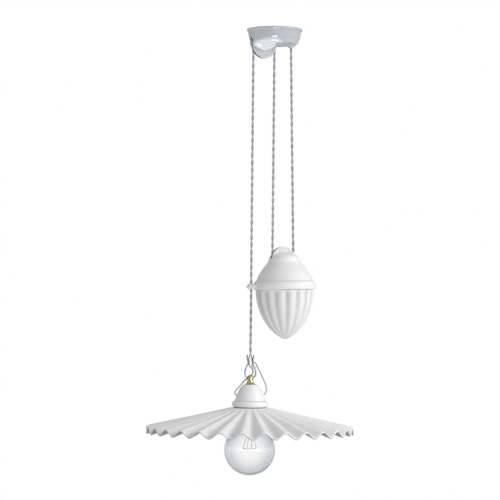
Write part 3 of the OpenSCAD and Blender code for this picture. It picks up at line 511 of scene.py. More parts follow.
def grain_group():
    """Moulded or cast stuff: an even body with grains of a second colour and a pitted skin."""
    n, given = new_group("Grained body", {
        "Colour": LIGHT, "Grain colour": DARK, "Grains": 0.5, "Grain scale": 500.0, "Roughness": 0.5,
        "Pits": 0.5})
    place = n.place()
    grains = n.put("TexVoronoi", {"Vector": place, "Scale": given["Grain scale"]}).outputs["Color"]
    pick = n.put("SeparateColor", {0: grains}).outputs[0]
    share = n.times(n.spread(pick, 0.35, 0.95), given["Grains"], clamp=True)
    cloud = n.spread(n.noise(place, 60, 3), 0.3, 0.7, 0.9, 1.0)
    mixed = n.between(share, given["Colour"], given["Grain colour"])
    return close_group(
        n, n.put("VectorMath", {0: mixed, 3: cloud}, operation="SCALE").outputs[0],
        n.plus(given["Roughness"], n.times(pick, 0.12), clamp=True),
        n.plus(n.times(n.noise(place, 700, 4), given["Pits"]), n.times(pick, 0.15)))


GROUPS = {}
MATERIALS = {}


def new_material(name):
    """An empty finish: its nodes, and its Principled shader."""
    material = MATERIALS[name] = bpy.data.materials.new(name)
    material.use_nodes = True
    return Nodes(material.node_tree), material.node_tree.nodes["Principled BSDF"]


def surface(name, group, values, bump, distance, metallic=0.0, **shader):
    """A finish: a group's colour, roughness and height, for values in the order of its inputs."""
    n, principled = new_material(name)
    look = n.put("Group", node_tree=GROUPS[group])
    for socket, value in zip(look.inputs, values):
        socket.default_value = value if isinstance(value, (int, float)) else (*value[:3], 1)
    n.feed(principled, {
        "Base Color": look.outputs["Colour"], "Roughness": look.outputs["Roughness"],
        "Normal": n.bump(bump, distance, look.outputs["Height"]), "Metallic": metallic,
        **{key.replace("_", " "): value for key, value in shader.items()}})


def clear_glass(name, tint, ripple):
    """Blown glass with slow ripples and faint smears, its tint growing towards the edge: partly the longer path
    through the glass, partly a painted reflection of darker surroundings.
    """
    n, principled = new_material(name)
    # Painted reflection, with the glass's own tint: the colour darkens towards the edge of the globe as seen.
    edge = n.spread(n.put("LayerWeight", {"Blend": 0.5}).outputs["Facing"], 0.03, 0.34)
    place = n.place()
    n.feed(principled, {
        "Base Color": n.between(edge, (1, 1, 1, 1), tint), "Transmission Weight": 1.0, "IOR": 1.5,
        "Roughness": n.times(n.spread(n.noise(place, 26, 4), 0.45, 0.8), 0.05),
        "Normal": n.bump(ripple, 0.0005, n.noise(place, 30, 1))})


class PENDANT_OT_finishes(Operator):
    """Makes the shared node groups and all finishes"""
    bl_idname = "pendant.finishes"
    bl_label = "Make the finishes"

    def execute(self, context):
        rose, weight, cord = context.scene.pendant_rose, context.scene.pendant_weight, context.scene.pendant_cord
        GROUPS.update(glaze=glaze_group(), braid=braid_group(), metal=metal_group(), grain=grain_group())

        # Glazes: bump and its depth, then colour, pooled glaze and shade colour, painted light and shade colour,
        # pooling and shade, painted groove shade, cloud, specks, roughness, orange peel
        shadow, coat = (0.4, 0.38, 0.36), {"Coat_Weight": 0.4, "Coat_Roughness": 0.06}
        for name, bump, depth, *values in (
                # Rose: the third colour is a painted highlight on the hood.
                ("rose", 0.22, 0.0006, rose.glaze, (0.4, 0.45, 0.5), (0.9, 0.93, 0.95),
                 0.9, 0, 0.5, 0.35, rose.gloss, 0.5),
                # Satin: its shadow colour is painted shade under the shade; its pooled colour is pooled glaze with
                # painted shade in creases.
                ("satin", 0.25, 0.0005, weight.glaze, (0.6, 0.585, 0.58), shadow, 0.75, 0, 0.45, 0.4, 0.46, 0.8),
                ("holder", 0.2, 0.0004, (0.89, 0.895, 0.89), (0.6, 0.6, 0.6), shadow,
                 0.8, 0, 0.4, 0.2, 0.2, 0.5),
                # Wheels: the third colour, at full groove strength, is painted shade in the groove between the
                # flanges.
                ("wheel", 0.2, 0.0004, (0.69, 0.72, 0.76), (0.5, 0.54, 0.6), (0.1, 0.1, 0.11),
                 0.8, 1, 0.5, 0.3, 0.2, 0.5),
                ("white_wheel", 0.2, 0.0004, (0.88, 0.88, 0.885), (0.66, 0.66, 0.67), (0.1, 0.1, 0.1),
                 0.8, 1, 0.4, 0.3, 0.25, 0.5)):
            surface(name + "_glaze", "glaze", values, bump, depth, **(coat if name == "rose" else {}))

        surface("braided_cord", "braid", (cord.thread, cord.tracer), 0.7, 0.00012,
                Sheen_Weight=0.35, Sheen_Roughness=0.4)

        # Metals: bright and dull colour, dulling, roughness, grain
        for name, *values in (
                ("steel", (0.56, 0.56, 0.57), (0.33, 0.31, 0.3), 0.7, 0.3, 0.5),
                ("zinc", (0.62, 0.63, 0.65), (0.47, 0.49, 0.52), 0.8, 0.34, 0.5),
                ("nickel", (0.5, 0.49, 0.45), (0.3, 0.29, 0.26), 0.7, 0.34, 0.5),
                ("brass", (0.7, 0.58, 0.33), (0.34, 0.27, 0.14), 0.6, 0.22, 0.5),
                ("tungsten", (0.3, 0.29, 0.28), (0.18, 0.17, 0.17), 0.5, 0.45, 0.5)):
            surface(name, "metal", values, 0.18, 0.00012, metallic=1.0)

        # Grained bodies: bump and its depth, then body and grain colour, grains, their scale, roughness, pits
        surface("cast_iron", "grain", ((0.055, 0.055, 0.06), (0.1, 0.075, 0.06), 0.6, 420, 0.62, 1),
                0.8, 0.0006, metallic=0.6)
        for name, bump, depth, *values in (
                ("porcelain", 0.3, 0.0002, (0.78, 0.76, 0.71), (0.66, 0.63, 0.57), 0.35, 650, 0.55, 0.6),
                ("black_plastic", 0.3, 0.00015, (0.022, 0.022, 0.024), (0.04, 0.04, 0.042), 0.4, 800, 0.42, 0.7),
                ("white_plastic", 0.2, 0.00012, (0.8, 0.79, 0.75), (0.74, 0.72, 0.67), 0.3, 700, 0.34, 0.5),
                ("cork_rubber", 0.7, 0.0003, (0.26, 0.18, 0.11), (0.1, 0.075, 0.055), 0.9, 900, 0.85, 1),
                ("black_vitrite", 0.3, 0.0002, (0.012, 0.012, 0.014), (0.03, 0.028, 0.03), 0.5, 300, 0.12, 0.6)):
            surface(name, "grain", values, bump, depth)

        clear_glass("bulb_glass", context.scene.pendant_bulb.tint, 0.06)
        clear_glass("stem_glass", (0.88, 0.93, 0.94, 1), 0.2)
        return {"FINISHED"}


# ---- Rose ----

class PENDANT_OT_rose_cover(Operator):
    """Turns the glazed rose, bulges its pulley hood out of the wall and opens the slot for the wheel"""
    bl_idname = "pendant.rose_cover"
    bl_label = "Rose with its hood"

    def execute(self, context):
        given = context.scene.pendant_rose
        rim, height, wall = given.radius / MM, given.height / MM, given.wall / MM
        (wheel_x, _, wheel_z), outlet_x = ROSE_WHEEL / MM, middle("outlet_bush").x / MM
        top, low = rim - 3.4, rim - 4.8
        foot = low - 2.4
        ledge_z, groove_z = -18.8, -5.8  # where glaze pools on the wall, with painted shade
        outside = [
            (0, 0), *arc(rim - 2.5, -2.5, 2.5, 90, -90, 12), (top + 0.4, -5.6), (top - 0.1, -7.5),
            (low + 0.15, -17.6), (low - 0.1, -18.4), (low - 0.75, -19), (low - 1, -20),
            *arc(foot - 6.5, 6.5 - height, 6.5, 14, -90, 12), (0, -height)]
        inside = [(0, 1), (top - wall, 1), (low - wall, -18.5),
                  *arc(foot - wall - 3, 3 + wall - height, 3, 0, -90, 6), (0, wall - height)]
        hood_x, hood_z, hood_r, hood_half = wheel_x - 2, wheel_z + 23.5, 33, 16

        def disc(radius, half, edge):
            ring = [(0, -half), *arc(radius - edge, edge - half, edge, -90, 0, 10),
                    *arc(radius - edge, half - edge, edge, 0, 90, 10), (0, half)]
            return turned("disc", ring, 96, shift(hood_x, hood_z) @ Matrix.Rotation(pi / 2, 4, "X"))

        piece = turned("rose_cover", outside, 160)
        hood = combine(disc(hood_r, hood_half, 11), [rod(foot + 0.9, 60, (0, 0, -49))], "INTERSECT")
        boss = turned("boss", [
            (0, -height - 3), *arc(5.8, -height - 0.8, 2.2, -90, 0, 6), (9.2, 2 - height), (0, 2 - height)],
            64, shift(outlet_x))
        combine(piece, [hood, boss], "UNION")
        room = combine(disc(hood_r - 3.6, 9.6, 2), [rod(foot + 0.8 - wall, 80, (0, 0, -40))], "INTERSECT")
        slot_half, slot_r, below = 7.2, 25.3, -95
        slot = rod(slot_r, 2 * slot_half, (wheel_x, 0, wheel_z), (0, 1, 0), sides=96)
        combine(slot, [block((-110, -slot_half, below), (wheel_x, slot_half, wheel_z + 16.5)),
                       block((wheel_x - 1, -slot_half, below), (wheel_x + slot_r, slot_half, wheel_z))], "UNION")
        cutters = [turned("inside", inside), room, slot, rod(4.3, 30, (outlet_x, 0, -height))]
        screw_x, head_r = middle("rose_screws").x / MM, 4
        for side in (-1, 1):
            y = side * (width("rose_screws", 1) / 2 / MM - head_r)
            cutters += [rod(2.1, 20, (screw_x, y, -height)), rod(4.4, 2.4, (screw_x, y, 1.15 - height), end_radius=2)]
        combine(piece, cutters)

        def junction(p):
            body = max(hypot(*p.xy) - foot - 1, -height - p.z)
            hooded = max(hypot(p.x - hood_x, p.z - hood_z) - hood_r, abs(p.y) - hood_half)
            return 1.15 - max(abs(body), abs(hooded)) / 12 if abs(p.y) > slot_half + 1.5 else 0

        # Painted highlight: the glaze is lightened on the lower front of the pulley hood.
        def painted_hood_highlight(p):
            share = 1 - ((p.x - hood_x) / 27) ** 2 - ((p.z + height + 3) / 13) ** 2
            return 1.7 * max(0, share) if abs(p.y) > slot_half + 1.3 else 0

        softened(piece, 0.8, junction)
        # Painted shade, with pooled glaze, in the ledge and the groove of the wall.
        mark(piece, "pooled_glaze_and_shade", lambda p: near(p.z, ledge_z, 1.1) * 0.7 + near(p.z, groove_z, 1.3) * 0.6)
        mark(piece, "painted_light_and_shade", painted_hood_highlight)
        finished(piece, "rose", "rose_glaze", "rose_shell", 50)
        return {"FINISHED"}


# ---- Counterweight ----

class PENDANT_OT_weight_cap(Operator):
    """Turns the counterweight's cap, with its guide eye and wheel slot"""
    bl_idname = "pendant.weight_cap"
    bl_label = "Counterweight cap"

    def execute(self, context):
        given = context.scene.pendant_weight
        knob, high, wall, joint = given.knob_radius / MM, 12.5, 4.5, 57.5
        neck, shoulder, band = knob + 4, 53.5, 59.5
        neck_z, shoulder_z, band_z = -8.5, -41, -54

        def side(inset):
            return [*(((knob - inset) * sin(pi / 2 * t), (high - inset) * cos(pi / 2 * t)) for t in shares(15)),
                    (knob + 1.8 - inset, -5),
                    *((neck - inset + (shoulder - neck) * t + 2.3 * sin(pi * t),
                       neck_z + (shoulder_z - neck_z) * t) for t in shares(12))]

        flare = [(shoulder + 1.8 + (band - shoulder - 1.8) * sin(pi / 2 * t),
                  shoulder_z - 0.6 + (band_z - shoulder_z + 0.6) * (0.35 * t + 0.65 * t * t))
                 for t in shares(8)]
        outside = [*side(0), *flare, *arc(band - 1.6, band_z - 1.4, 1.6, 0, -80, 6), (55.6, -joint), (0, -joint)]
        register = 55 - 6.7 - 0.5  # the collar that centres the bowl
        piece = turned("weight_cap_glazed", outside, 160)
        collar = turned("collar", [
            (register - 3, -joint - 4), (register, -joint - 4), (register, 2 - joint), (register - 3, 2 - joint)])
        eye_z = -(joint - 6.5)
        eye_x = -(63 - eye_z * sin(-LEAN)) / cos(LEAN) - OFFSET
        half = [(3.7, 5.3), (4.6, 5.4), (5.5, 4.7), (8.6, 1.3), (9.5, 0.5)]
        ring = turned("eye", [
            *((r, eye_z - z) for r, z in half), (9.7, eye_z), *((r, eye_z + z) for r, z in reversed(half))],
            64, shift(eye_x))
        web = rod(3.3, 14, (eye_x + 12, 0, eye_z), (1, 0, 0), 4.2, 32)
        combine(piece, [collar, ring, web], "UNION")
        inside = turned("inside", [
            *side(wall), (register - 3, 6 - joint), (register - 3, -joint - 6), (0, -joint - 6)])
        slot_half, slot_x = 7.2, 25.2
        slot = block((-slot_x - OFFSET, -slot_half, -5), (slot_x - OFFSET, slot_half, 25))
        combine(piece, [inside, slot, rod(4.2, 30, (eye_x, 0, eye_z))])
        softened(piece, 0.88, lambda p: 1 - abs(p.x - eye_x - 8.5) / 4.5
                 if abs(p.y) < 9 and abs(p.z - eye_z) < 9 else 0)
        # Painted shade, with pooled glaze, in the crease under the shoulder.
        mark(piece, "pooled_glaze_and_shade", lambda p: near(p.z, shoulder_z - 0.4, 1.2) * 0.9 if hypot(*p.xy) > 50 else 0)
        finished(piece, "counterweight", "satin_glaze", "weight_cap", 50, BODY)
        return {"FINISHED"}


class PENDANT_OT_weight_bowl(Operator):
    """Turns the counterweight's bowl and presses its flutes"""
    bl_idname = "pendant.weight_bowl"
    bl_label = "Fluted bowl"

    def execute(self, context):
        given = context.scene.pendant_weight
        rim, deep, top, wall, floor, well = 55, 92, -58.5, 6.7, 14, 8
        foot, lip = top - deep, top + 0.7
        first_flute, arch = radians(-5), 3.5

        def radius(t):
            return rim * (1 - t * t) ** 0.66

        levels = [0, 0.02, *(0.05 * i for i in range(1, 18)),
                  0.88, 0.91, 0.935, 0.955, 0.97, 0.981, 0.989, 0.995, 0.999]
        section = [
            (48.4, top), (51.5, top), (51.5, lip), (54.7, lip), (rim, lip - 0.3),
            *((radius(t), top - deep * t) for t in levels), (0, foot),
            (0, foot + floor - well), (4.5, foot + floor - well), (4.5, foot + floor),
            (radius(0.84) - wall, foot + floor),
            *((radius(t) - wall, top - deep * t) for t in (0.74, 0.64, 0.54, 0.42, 0.3, 0.15))]
        piece = turned("weight_bowl_fluted", section, given.flutes * 24)

        def flute(p):
            t = (top - p.z) / deep
            if not 0 <= t < 1 or hypot(*p.xy) < radius(t) - 0.4:
                return 0
            ridge = cos(given.flutes * (atan2(p.y, p.x) - first_flute) / 2)
            start = min(1, t * deep / arch)
            return (1 - ridge * ridge) ** 1.3 * start * start * (3 - 2 * start) * (1 - t) ** 0.45

        # Painted shade, with pooled glaze, in the grooves of the flutes.
        mark(piece, "pooled_glaze_and_shade", lambda p: flute(p) ** 1.6 * 1.25)
        push(piece, "flutes", flute, -given.flute_depth, "NORMAL")
        finished(piece, "counterweight", "satin_glaze", "weight_bowl", 60, BODY)
        return {"FINISHED"}


# ---- Cord ----

KNOT_TOP = 45
RIGHT_ROUTE = [(1, -5.5, 20.5), (2.2, -5.8, 24), (4.6, -6, 27.2), (7.8, -5, 27.6), (11.2, -3.2, 23),
               (14.8, -1.5, 17), (20.8, 0, 6.5), (25.6, 0, -3), (30.4, 0, -13), (32.2, 0, -21), (31.4, 0, -27.5)]
LEFT_ROUTE = [(4.2, 4.2, 18.5), (6.4, 5.4, 14.5), (7.1, 6.4, 10), (6.3, 7.6, 5), (2.5, 8.6, 1), (-3.5, 8.4, -2.4),
              (-11.3, 6.6, -9), (-19.4, 4, -17), (-26.8, 1.4, -23.5), (-30.4, 0, -28.5)]
INLET_X, INLET_Z, INLET_TILT = 25.25, -34, radians(30)


def line_between(start, end, step=1.4):
    """Even points between two, at most a step apart, in millimetres."""
    start, end = Vector(start), Vector(end)
    count = max(2, ceil((end - start).length / step))
    return [start.lerp(end, t) for t in shares(count)]


def in_plane(points):
    return [Vector((x, 0, z)) for x, z in points]


def fixed_run(top, foot):
    """The run from the clamp to the counterweight in three lengths, each listed with the rose, the counterweight
    and two heights meant to spread the counterweight's travel along it."""
    short, rise = 30, 30 / 0.1281
    way = (foot - top) / (foot - top).length
    upper, lower, centre = top + short * way, foot - short * way, (top + foot) / 2
    reach = (lower - upper).length / 2 / 0.3722 / 2
    lengths = [("upper", top, upper, top.z, top.z - rise), ("long", upper, lower, centre.z + reach, centre.z - reach),
               ("lower", lower, foot, foot.z + rise, foot.z)]
    return [(f"cord_fixed_{name}", line_between(a, b), ("rose", "counterweight", (0, 0, start * MM), (0, 0, end * MM)),
             "cord_fixed_run") for name, a, b, start, end in lengths]


class PENDANT_OT_cord(Operator):
    """Lays the twisted cord from the rose's clamp over both wheels, down to the lamp's hook"""
    bl_idname = "pendant.cord"
    bl_label = "Twisted cord"

    def execute(self, context):
        given = context.scene.pendant_cord
        clamp_x, (block_x, _, tail_z) = middle("cord_anchor").x / MM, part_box("cord_tail")[0] / MM
        fixed_x, lamp_x = FIXED_X / MM, LAMP_X / MM
        (rose_x, _, rose_z), (weight_x, _, weight_z) = ROSE_WHEEL / MM, WEIGHT_WHEEL / MM
        turn_z, bend, pitch = -18.4, 10.4, PITCH_R / MM
        quarter = in_plane(arc(clamp_x - bend, turn_z, bend, 90, 0, 12))
        wheel_up, wheel_down = (0, 0, ROSE_WHEEL.z), (0, 0, WEIGHT_WHEEL.z)
        runs = [
            ("cord_tail_twist", [
                *line_between((block_x, 0, turn_z + bend), quarter[0])[:-1], *quarter[:-1],
                *line_between(quarter[-1], (clamp_x, 0, tail_z))], "rose", "cord_tail"),
            *fixed_run(Vector((clamp_x, 0, tail_z)), Vector((fixed_x, 0, weight_z))),
            ("cord_under_twist", in_plane(arc(weight_x, weight_z, pitch, 0, -180, 48)), "counterweight",
             "cord_under_weight_pulley"),
            ("cord_middle_twist", line_between((0, 0, weight_z), (0, 0, rose_z)),
             ("rose", "counterweight", wheel_up, wheel_down), "cord_middle_run"),
            ("cord_over_twist", in_plane(arc(rose_x, rose_z, pitch, 0, 180, 48)), "rose", "cord_over_rose_pulley"),
            ("cord_lamp_twist", line_between((lamp_x, 0, rose_z), (lamp_x, 0, PIN_Z / MM + KNOT_TOP)),
             ("rose", "hanger", wheel_up, (0, 0, PIN_Z + KNOT_TOP * MM)), "cord_lamp_run"),
        ]
        along, offset, lay, side = 0.0, given.core / 2 / MM, given.lay / MM, Vector((0, 1, 0))
        for name, line, body, node in runs:
            cores = [[], []]
            for i, here in enumerate(line):
                if i:
                    along += (here - line[i - 1]).length
                ahead = (line[min(i + 1, len(line) - 1)] - line[max(i - 1, 0)]).normalized()
                turn = 2 * pi * along / lay
                out = offset * (cos(turn) * side + sin(turn) * ahead.cross(side))
                cores[0].append((here + out) * MM)
                cores[1].append((here - out) * MM)
            finished(tube(name, cores, given.core / 2), body, "braided_cord", node, 0)
        context.scene["cord_ends"] = [c for core in cores for c in core[-1]]
        return {"FINISHED"}


def inlet_route(side):
    """A conductor's way through its inlet to the terminal, in the lamp's frame."""
    return [(side * (INLET_X + out * cos(INLET_TILT)), 0, INLET_Z + out * sin(INLET_TILT))
            for out in (4.6, 2.4, -5, -6)] + [(side * 17.9, 0, -36), (side * 14.65, 0, -36)]


class PENDANT_OT_knot(Operator):
    """Ties the cord to the hook and leads its cores to the lampholder's inlets"""
    bl_idname = "pendant.knot"
    bl_label = "Knot and conductors"

    def execute(self, context):
        core = context.scene.pendant_cord.core / 2
        ends = list(context.scene["cord_ends"])
        starts = sorted((LAMP.inverted() @ Vector(ends[i:i + 3]) / MM for i in (0, 3)), key=lambda p: p.x)
        to_right = [starts[0], (-2.4, -1.4, 39.5), (-3.7, -3.0, 33.5), (-4.0, -4.2, 27), (-3.2, -4.7, 22),
                    (-1.4, -5.0, 18), (0.2, -5.2, 17.8), RIGHT_ROUTE[0]]
        to_left = [starts[1], (2.4, 1.4, 39.5), (4.2, 3.0, 33), (5.4, 4.2, 27), (5.2, 4.4, 22), LEFT_ROUTE[0]]
        bend = ("hanger", "lamp", (0, 0, PIN_Z + 0.014), (0, 0, PIN_Z - 0.022))
        for name, routes, body, node in (
                ("cord_knot_cores", (to_right, to_left), "hanger", "cord_knot"),
                ("conductor_right_braid", (RIGHT_ROUTE + inlet_route(1),), bend, "conductor_right"),
                ("conductor_left_braid", (LEFT_ROUTE + inlet_route(-1),), bend, "conductor_left")):
            lines = [in_lamp(smooth_line(route)) for route in routes]
            finished(tube(name, lines, core), body, "braided_cord", node, 0)
        return {"FINISHED"}


class PENDANT_OT_hook(Operator):
    """Bends the steel wire hook whose pin the lamp swings on"""
    bl_idname = "pendant.hook"
    bl_label = "Cord hook"

    def execute(self, context):
        leg = smooth_line([(6.8, 0, 41.5), (6, 0, 36), (4.9, 0, 31), (4.08, 0, 26.5), (6.4, 0, 21.5), (9.2, 0, 15.5),
                           (10.5, 0, 10), (10.3, 0, 5.4), (8.8, 0, 2), (6.6, 0, 0.2), (4, 0, 0)])
        line = leg + in_plane([(2, 0), (0, 0), (-2, 0)]) + [Vector((-p.x, 0, p.z)) for p in reversed(leg)]
        finished(wire("hook_wire", in_lamp(line), 0.0016, 5), "hanger", "nickel", "cord_hook", 50)
        return {"FINISHED"}


# ---- Lamp ----

class PENDANT_OT_stem(Operator):
    """Turns the brass stem and drills its cross hole for the hook's pin"""
    bl_idname = "pendant.stem"
    bl_label = "Brass stem"

    def execute(self, context):
        hole, mouth, thread = 1.64, 3.3, 4.99
        section = [
            (0, 4.6), *arc(0, -1.4, 6, 84, 0, 14), (5.8, -3), (5.68, -4.5), (5.7, -6), (5.9, -7.6), (6.35, -9.2),
            (7.1, -10.5), (8.1, -11.5), (9.2, -12.1), (9.95, -12.5), (10.3, -12.9), (10.4, -13.4), (10.3, -14),
            (0, -14)]
        piece = turned("stem_turned", section, 96)
        combine(piece, [rod(hole, 24, (0, 0, 0), (1, 0, 0)), rod(thread, 14, (0, 0, -14.5)),
                        *(rod(hole, 2.2, (side * 5.4, 0, 0), (side, 0, 0), mouth) for side in (-1, 1))])
        applied(piece, "BEVEL", width=0.00015, segments=2, limit_method="ANGLE", angle_limit=radians(50))
        finished(piece, "lamp", "brass", "hook_stem", 35, LAMP)
        return {"FINISHED"}


class PENDANT_OT_holder_cover(Operator):
    """Turns the lampholder's cover, with its collar and two inlets"""
    bl_idname = "pendant.holder_cover"
    bl_label = "Lampholder cover"

    def execute(self, context):
        high, low, collar, wall, edge, collar_h = -14, -56, width("holder_cover", 1) / 2 / MM, 4, 5.2, 11.5
        foot, top = collar - 5, 11.5

        def side(inset):
            drop = high - low - collar_h - inset
            return [(top - inset / 2 + (foot - inset - top + inset / 2) * u, high - inset - drop * u ** 1.75)
                    for u in shares(20)]

        section = [
            (0, high), (top - 0.7, high), (top - 0.2, high - 0.15), *side(0)[1:-1],
            (foot - 0.2, low + collar_h + 0.6), (foot + 0.6, low + collar_h + 0.05),
            *arc(collar - edge, low + collar_h - edge, edge, 90, 0, 12),
            *arc(collar - edge, low + edge, edge, 0, -90, 12), (collar - 8, low), (foot - wall, low),
            *side(wall)[::-1], (0, high - wall)]
        piece = turned("holder_cover_glazed", section)
        combine(piece, [rod(5.1, 20, (0, 0, high)), *(
            rod(2.55, 16, (way * INLET_X, 0, INLET_Z), (way * cos(INLET_TILT), 0, sin(INLET_TILT)), sides=48)
            for way in (-1, 1))])
        # Painted shade, with pooled glaze, in the crease at the top of the collar.
        mark(piece, "pooled_glaze_and_shade", lambda p: near(p.z, low + collar_h + 0.3, 1.2) * 0.9
             if foot - 2 < hypot(*p.xy) < foot + 1.6 else 0)
        finished(piece, "lamp", "holder_glaze", "holder_cover", 50, LAMP)
        return {"FINISHED"}


class PENDANT_OT_shade(Operator):
    """Turns the flat shade and presses its pleats, deepest at the rim"""
    bl_idname = "pendant.shade"
    bl_label = "Pleated shade"

    def execute(self, context):
        given = context.scene.pendant_shade
        reach, depth, wall = given.radius / MM, given.depth / MM, given.wall / MM
        plate, hole, top, drop, steps = 38, 20.6, -57, 40.5, 22

        def share(r):
            return max(0, (r - plate) / (reach - plate))

        def rise(r):
            return top - drop * share(r) + depth / 2 * share(r) ** 1.15

        radii = [hole, (hole + plate) / 2] + [plate + (reach - 2.2 - plate) * t for t in shares(steps)]
        edge = rise(reach)
        piece = turned("shade_pleated", [
            *((r, rise(r)) for r in radii), (reach - 0.6, edge - 0.2), (reach - 0.1, edge - 0.7),
            (reach, edge - 1.6), (reach - 0.25, edge - 2.4), (reach - 0.9, edge - wall + 0.5),
            *((r, rise(r) - wall) for r in reversed(radii))], given.pleats * 20)

        def pleat(p):
            wave = cos(given.pleats * atan2(p.y, p.x))
            return share(min(hypot(*p.xy), reach)) ** 1.15 * (1 + wave) / 2

        # Painted shade, with pooled glaze, in the valleys of the pleats.
        mark(piece, "pooled_glaze_and_shade", lambda p: pleat(p) ** 2 * min(1, 3 * share(hypot(*p.xy))) * 0.55)
        # Painted shade on the shade's underside, in the satin glaze's shadow colour.
        mark(piece, "painted_light_and_shade", lambda p: 0.9 if p.z < rise(hypot(*p.xy)) - 2.2 else 0)
        push(piece, "pleats", pleat, -given.depth, "Z")
        finished(piece, "lamp", "satin_glaze", "shade", 70, LAMP)
        return {"FINISHED"}


# ---- Bulb ----

class PENDANT_OT_bulb(Operator):
    """Blows the globe of the bulb and winds its filament"""
    bl_idname = "pendant.bulb"
    bl_label = "Globe bulb"

    def execute(self, context):
        given = context.scene.pendant_bulb
        globe, wall = given.radius / MM, given.wall / MM
        low, top = ((corner.z - PIN_Z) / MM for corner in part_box("bulb_glass"))
        centre, neck_r, neck_h, join = low + globe, 11.9, 9, radians(32)

        def side(inset):
            r, neck = globe - inset, neck_r - inset
            at_x, at_z = r * sin(join), centre + r * cos(join)
            return [*arc(0, centre, r, -90, 54, 48), *(
                (neck + (at_x - neck) * (1 - t) ** 2.2, at_z + (top - neck_h - at_z) * t) for t in shares(18)),
                (neck, top)]

        section = [(0, low), *side(0)[1:], *side(wall)[::-1][:-1], (0, low + wall)]
        piece = turned("bulb_globe", section)
        finished(piece, "bulb", "bulb_glass", "bulb_glass", 60, LAMP)

        height, ring, coil, turns, points = middle("bulb_filament").z, 0.013, 0.00048, 64, 12
        line = []
        for t in shares(turns * points):
            a, b = radians(270) * t, 2 * pi * turns * t
            out = ring + coil * cos(b)
            line.append((LAMP_X + out * cos(a), out * sin(a), height + coil * sin(b)))
        finished(wire("bulb_filament_coil", line, 0.00011, 1), "bulb", "tungsten", "bulb_filament", 0)
        return {"FINISHED"}


# ---- The frame's own parts ----

CARRIED = {
    "zinc": """ceiling_plate plate_pillars pulley_yoke anchor_screws weight_fork tie_rod rod_nuts nipple
            nipple_nuts holder_bridge""",
    "steel": "yoke_rivets rose_axle weight_axle bridge_screws",
    "nickel": "rose_screws bulb_cap bulb_contact bulb_wires",
    "brass": """rose_pulley_bush weight_pulley_bush terminal_screws tip_insert holder_terminals
             holder_terminal_screws screw_shell centre_contact""",
    "wheel_glaze": "rose_pulley",
    "white_wheel_glaze": "weight_pulley",
    "white_plastic": "outlet_bush inlet_bushes shade_ring",
    "black_plastic": "cord_anchor terminal_block",
    "cast_iron": "ballast",
    "cork_rubber": "weight_seal shade_seal",
    "porcelain": "lampholder_body",
    "black_vitrite": "bulb_insulator",
    "stem_glass": "bulb_stem",
}
EDGE = {"rose_pulley": 0.5, "weight_pulley": 0.5, "terminal_block": 0.6, "cord_anchor": 0.4, "shade_ring": 0.5,
        "lampholder_body": 0.6, "ballast": 1.0, "rod_nuts": 0.3, "nipple_nuts": 0.3, "rose_screws": 0.2}


class PENDANT_OT_carried_parts(Operator):
    """Breaks the edges of the frame's own parts and finishes them"""
    bl_idname = "pendant.carried_parts"
    bl_label = "Finish the frame's parts"

    def execute(self, context):
        for finish, name in ((finish, name) for finish, names in CARRIED.items() for name in names.split()):
            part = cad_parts[name]
            dress(part, finish)
            part.data.polygons.foreach_set("use_smooth", [True] * len(part.data.polygons))
            part.modifiers.new("Weld", "WELD").merge_threshold = 1e-6
            bevel = part.modifiers.new("Bevel", "BEVEL")
            bevel.width, bevel.segments = EDGE.get(name, 0.15) * MM, 2
            bevel.limit_method, bevel.angle_limit = "ANGLE", radians(40)
            part.modifiers.new("Edge Split", "EDGE_SPLIT").split_angle = radians(48)
        return {"FINISHED"}


# ---- Stage ----

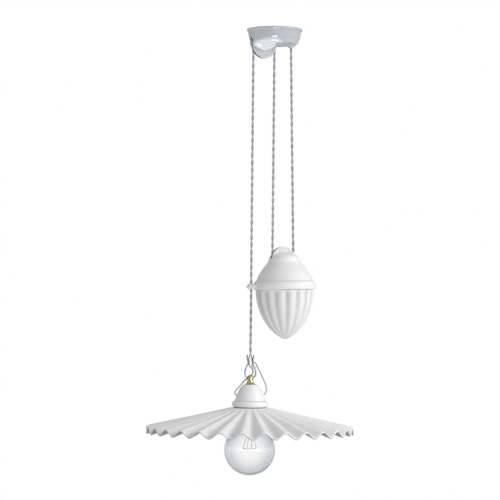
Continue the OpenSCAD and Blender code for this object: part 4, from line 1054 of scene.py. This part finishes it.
class PENDANT_OT_stage(Operator):
    """Sets the pale floor, the soft studio light and the camera"""
    bl_idname = "pendant.stage"
    bl_label = "Floor, light and camera"

    def execute(self, context):
        given, scene = context.scene.pendant_stage, context.scene
        scene.view_settings.view_transform = "Standard"
        deselect()
        bpy.ops.mesh.primitive_grid_add(
            x_subdivisions=12, y_subdivisions=12, size=24, location=(0, 0, -given.floor_drop))
        floor = settle(context.object)
        floor.name = "studio_floor"
        n, principled = new_material(floor.name)
        n.feed(principled, {"Roughness": 0.75, "Base Color": n.between(
            n.noise(n.place(), 3, 4), (0.88, 0.88, 0.875, 1), (0.92, 0.92, 0.915, 1))})
        dress(floor, floor.name)

        scene.world = scene.world or bpy.data.worlds.new("studio")
        scene.world.use_nodes = True
        n = Nodes(scene.world.node_tree)
        n.tree.nodes.clear()
        ray = n.put("LightPath").outputs
        up = n.put("TexCoord").outputs["Generated"]
        height = n.put("SeparateXYZ", {0: up}).outputs[2]
        sky = n.plus(n.spread(height, -0.5, 0.1, 0.45 * given.ambient, given.ambient),
                     n.spread(height, 0.3, 1.0, 0.0, 0.3 * given.ambient))
        seen = n.put("Background", {"Color": (1, 1, 1, 1), "Strength": 1.0})
        lit = n.put("Background", {"Color": (0.975, 0.985, 1, 1), "Strength": sky})
        clear = n.maths("MAXIMUM", ray["Is Camera Ray"], ray["Is Transmission Ray"])
        mix = n.put("MixShader", {0: clear, 1: lit.outputs[0], 2: seen.outputs[0]})
        n.put("OutputWorld", {"Surface": mix.outputs[0]})

        for name, place, aim, size, power, colour, angle in (
                ("key", (2.3, -1.7, 0.6), (-0.05, 0, -0.72), (1.3, 1.3), 1, (1, 0.99, 0.975), 60),
                ("hood_light", (-0.3, -1.0, -1.3), (0, 0, -0.03), (0.5, 0.35), 0.062, (0.98, 0.99, 1), 30),
                ("fill", (0.5, -2.2, -0.8), (-0.04, 0, -0.72), (0.7, 0.3), 0.07, (1, 1, 1), 30)):
            light = bpy.data.lights.new(name, "AREA")
            light.shape, light.size, light.size_y = "RECTANGLE", *size
            light.energy, light.color, light.spread = given.key_power * power, colour, radians(angle)
            lamp = added(name, light)
            lamp.location = place
            lamp.rotation_euler = (Vector(aim) - Vector(place)).to_track_quat("-Z", "Y").to_euler()

        # The photograph's camera, fitted to its outlines
        yaw, pitch, roll = radians(-19.688), radians(1.282), radians(0.5495)
        focal_px, photo_px, sensor = 2215, 500, 36
        turn = (Matrix.Rotation(yaw, 4, "Z") @ Matrix.Rotation(pi / 2 + pitch, 4, "X")
                @ Matrix.Rotation(roll, 4, "Z"))
        camera = added("camera", bpy.data.cameras.new("camera"))
        camera.data.sensor_width, camera.data.lens = sensor, focal_px / photo_px * sensor
        camera.matrix_world = Matrix.Translation((-1.4421, -3.9044, -0.5098)) @ turn
        scene.camera = camera
        return {"FINISHED"}


class PENDANT_PT_panel(Panel):
    """Lists the pendant's pieces and sizes"""
    bl_idname = "PENDANT_PT_panel"
    bl_label = "Rise and fall pendant"
    bl_space_type = "VIEW_3D"
    bl_region_type = "UI"
    bl_category = "Pendant"

    def draw(self, context):
        for operator in STEPS:
            self.layout.operator(operator.bl_idname)
        for name in SETTINGS:
            group = getattr(context.scene, name)
            box = self.layout.box()
            for key in group.bl_rna.properties.keys():
                if key not in ("rna_type", "name"):
                    box.prop(group, key)


SETTINGS = {"pendant_rose": RoseSettings, "pendant_weight": WeightSettings, "pendant_cord": CordSettings,
            "pendant_shade": ShadeSettings, "pendant_bulb": BulbSettings, "pendant_stage": StageSettings}
STEPS = (PENDANT_OT_stage, PENDANT_OT_finishes, PENDANT_OT_cord, PENDANT_OT_knot, PENDANT_OT_hook,
         PENDANT_OT_rose_cover, PENDANT_OT_weight_cap, PENDANT_OT_weight_bowl, PENDANT_OT_stem,
         PENDANT_OT_holder_cover, PENDANT_OT_shade, PENDANT_OT_bulb, PENDANT_OT_carried_parts)
CLASSES = (*SETTINGS.values(), *STEPS, PENDANT_PT_panel)


def register():
    for one in CLASSES:
        bpy.utils.register_class(one)
    for name, group in SETTINGS.items():
        setattr(bpy.types.Scene, name, bpy.props.PointerProperty(type=group))


def unregister():
    for name in SETTINGS:
        delattr(bpy.types.Scene, name)
    for one in reversed(CLASSES):
        bpy.utils.unregister_class(one)


def main():
    register()
    for step in STEPS:
        space, name = step.bl_idname.split(".")
        getattr(getattr(bpy.ops, space), name)()


if __name__ == "__main__":
    main()
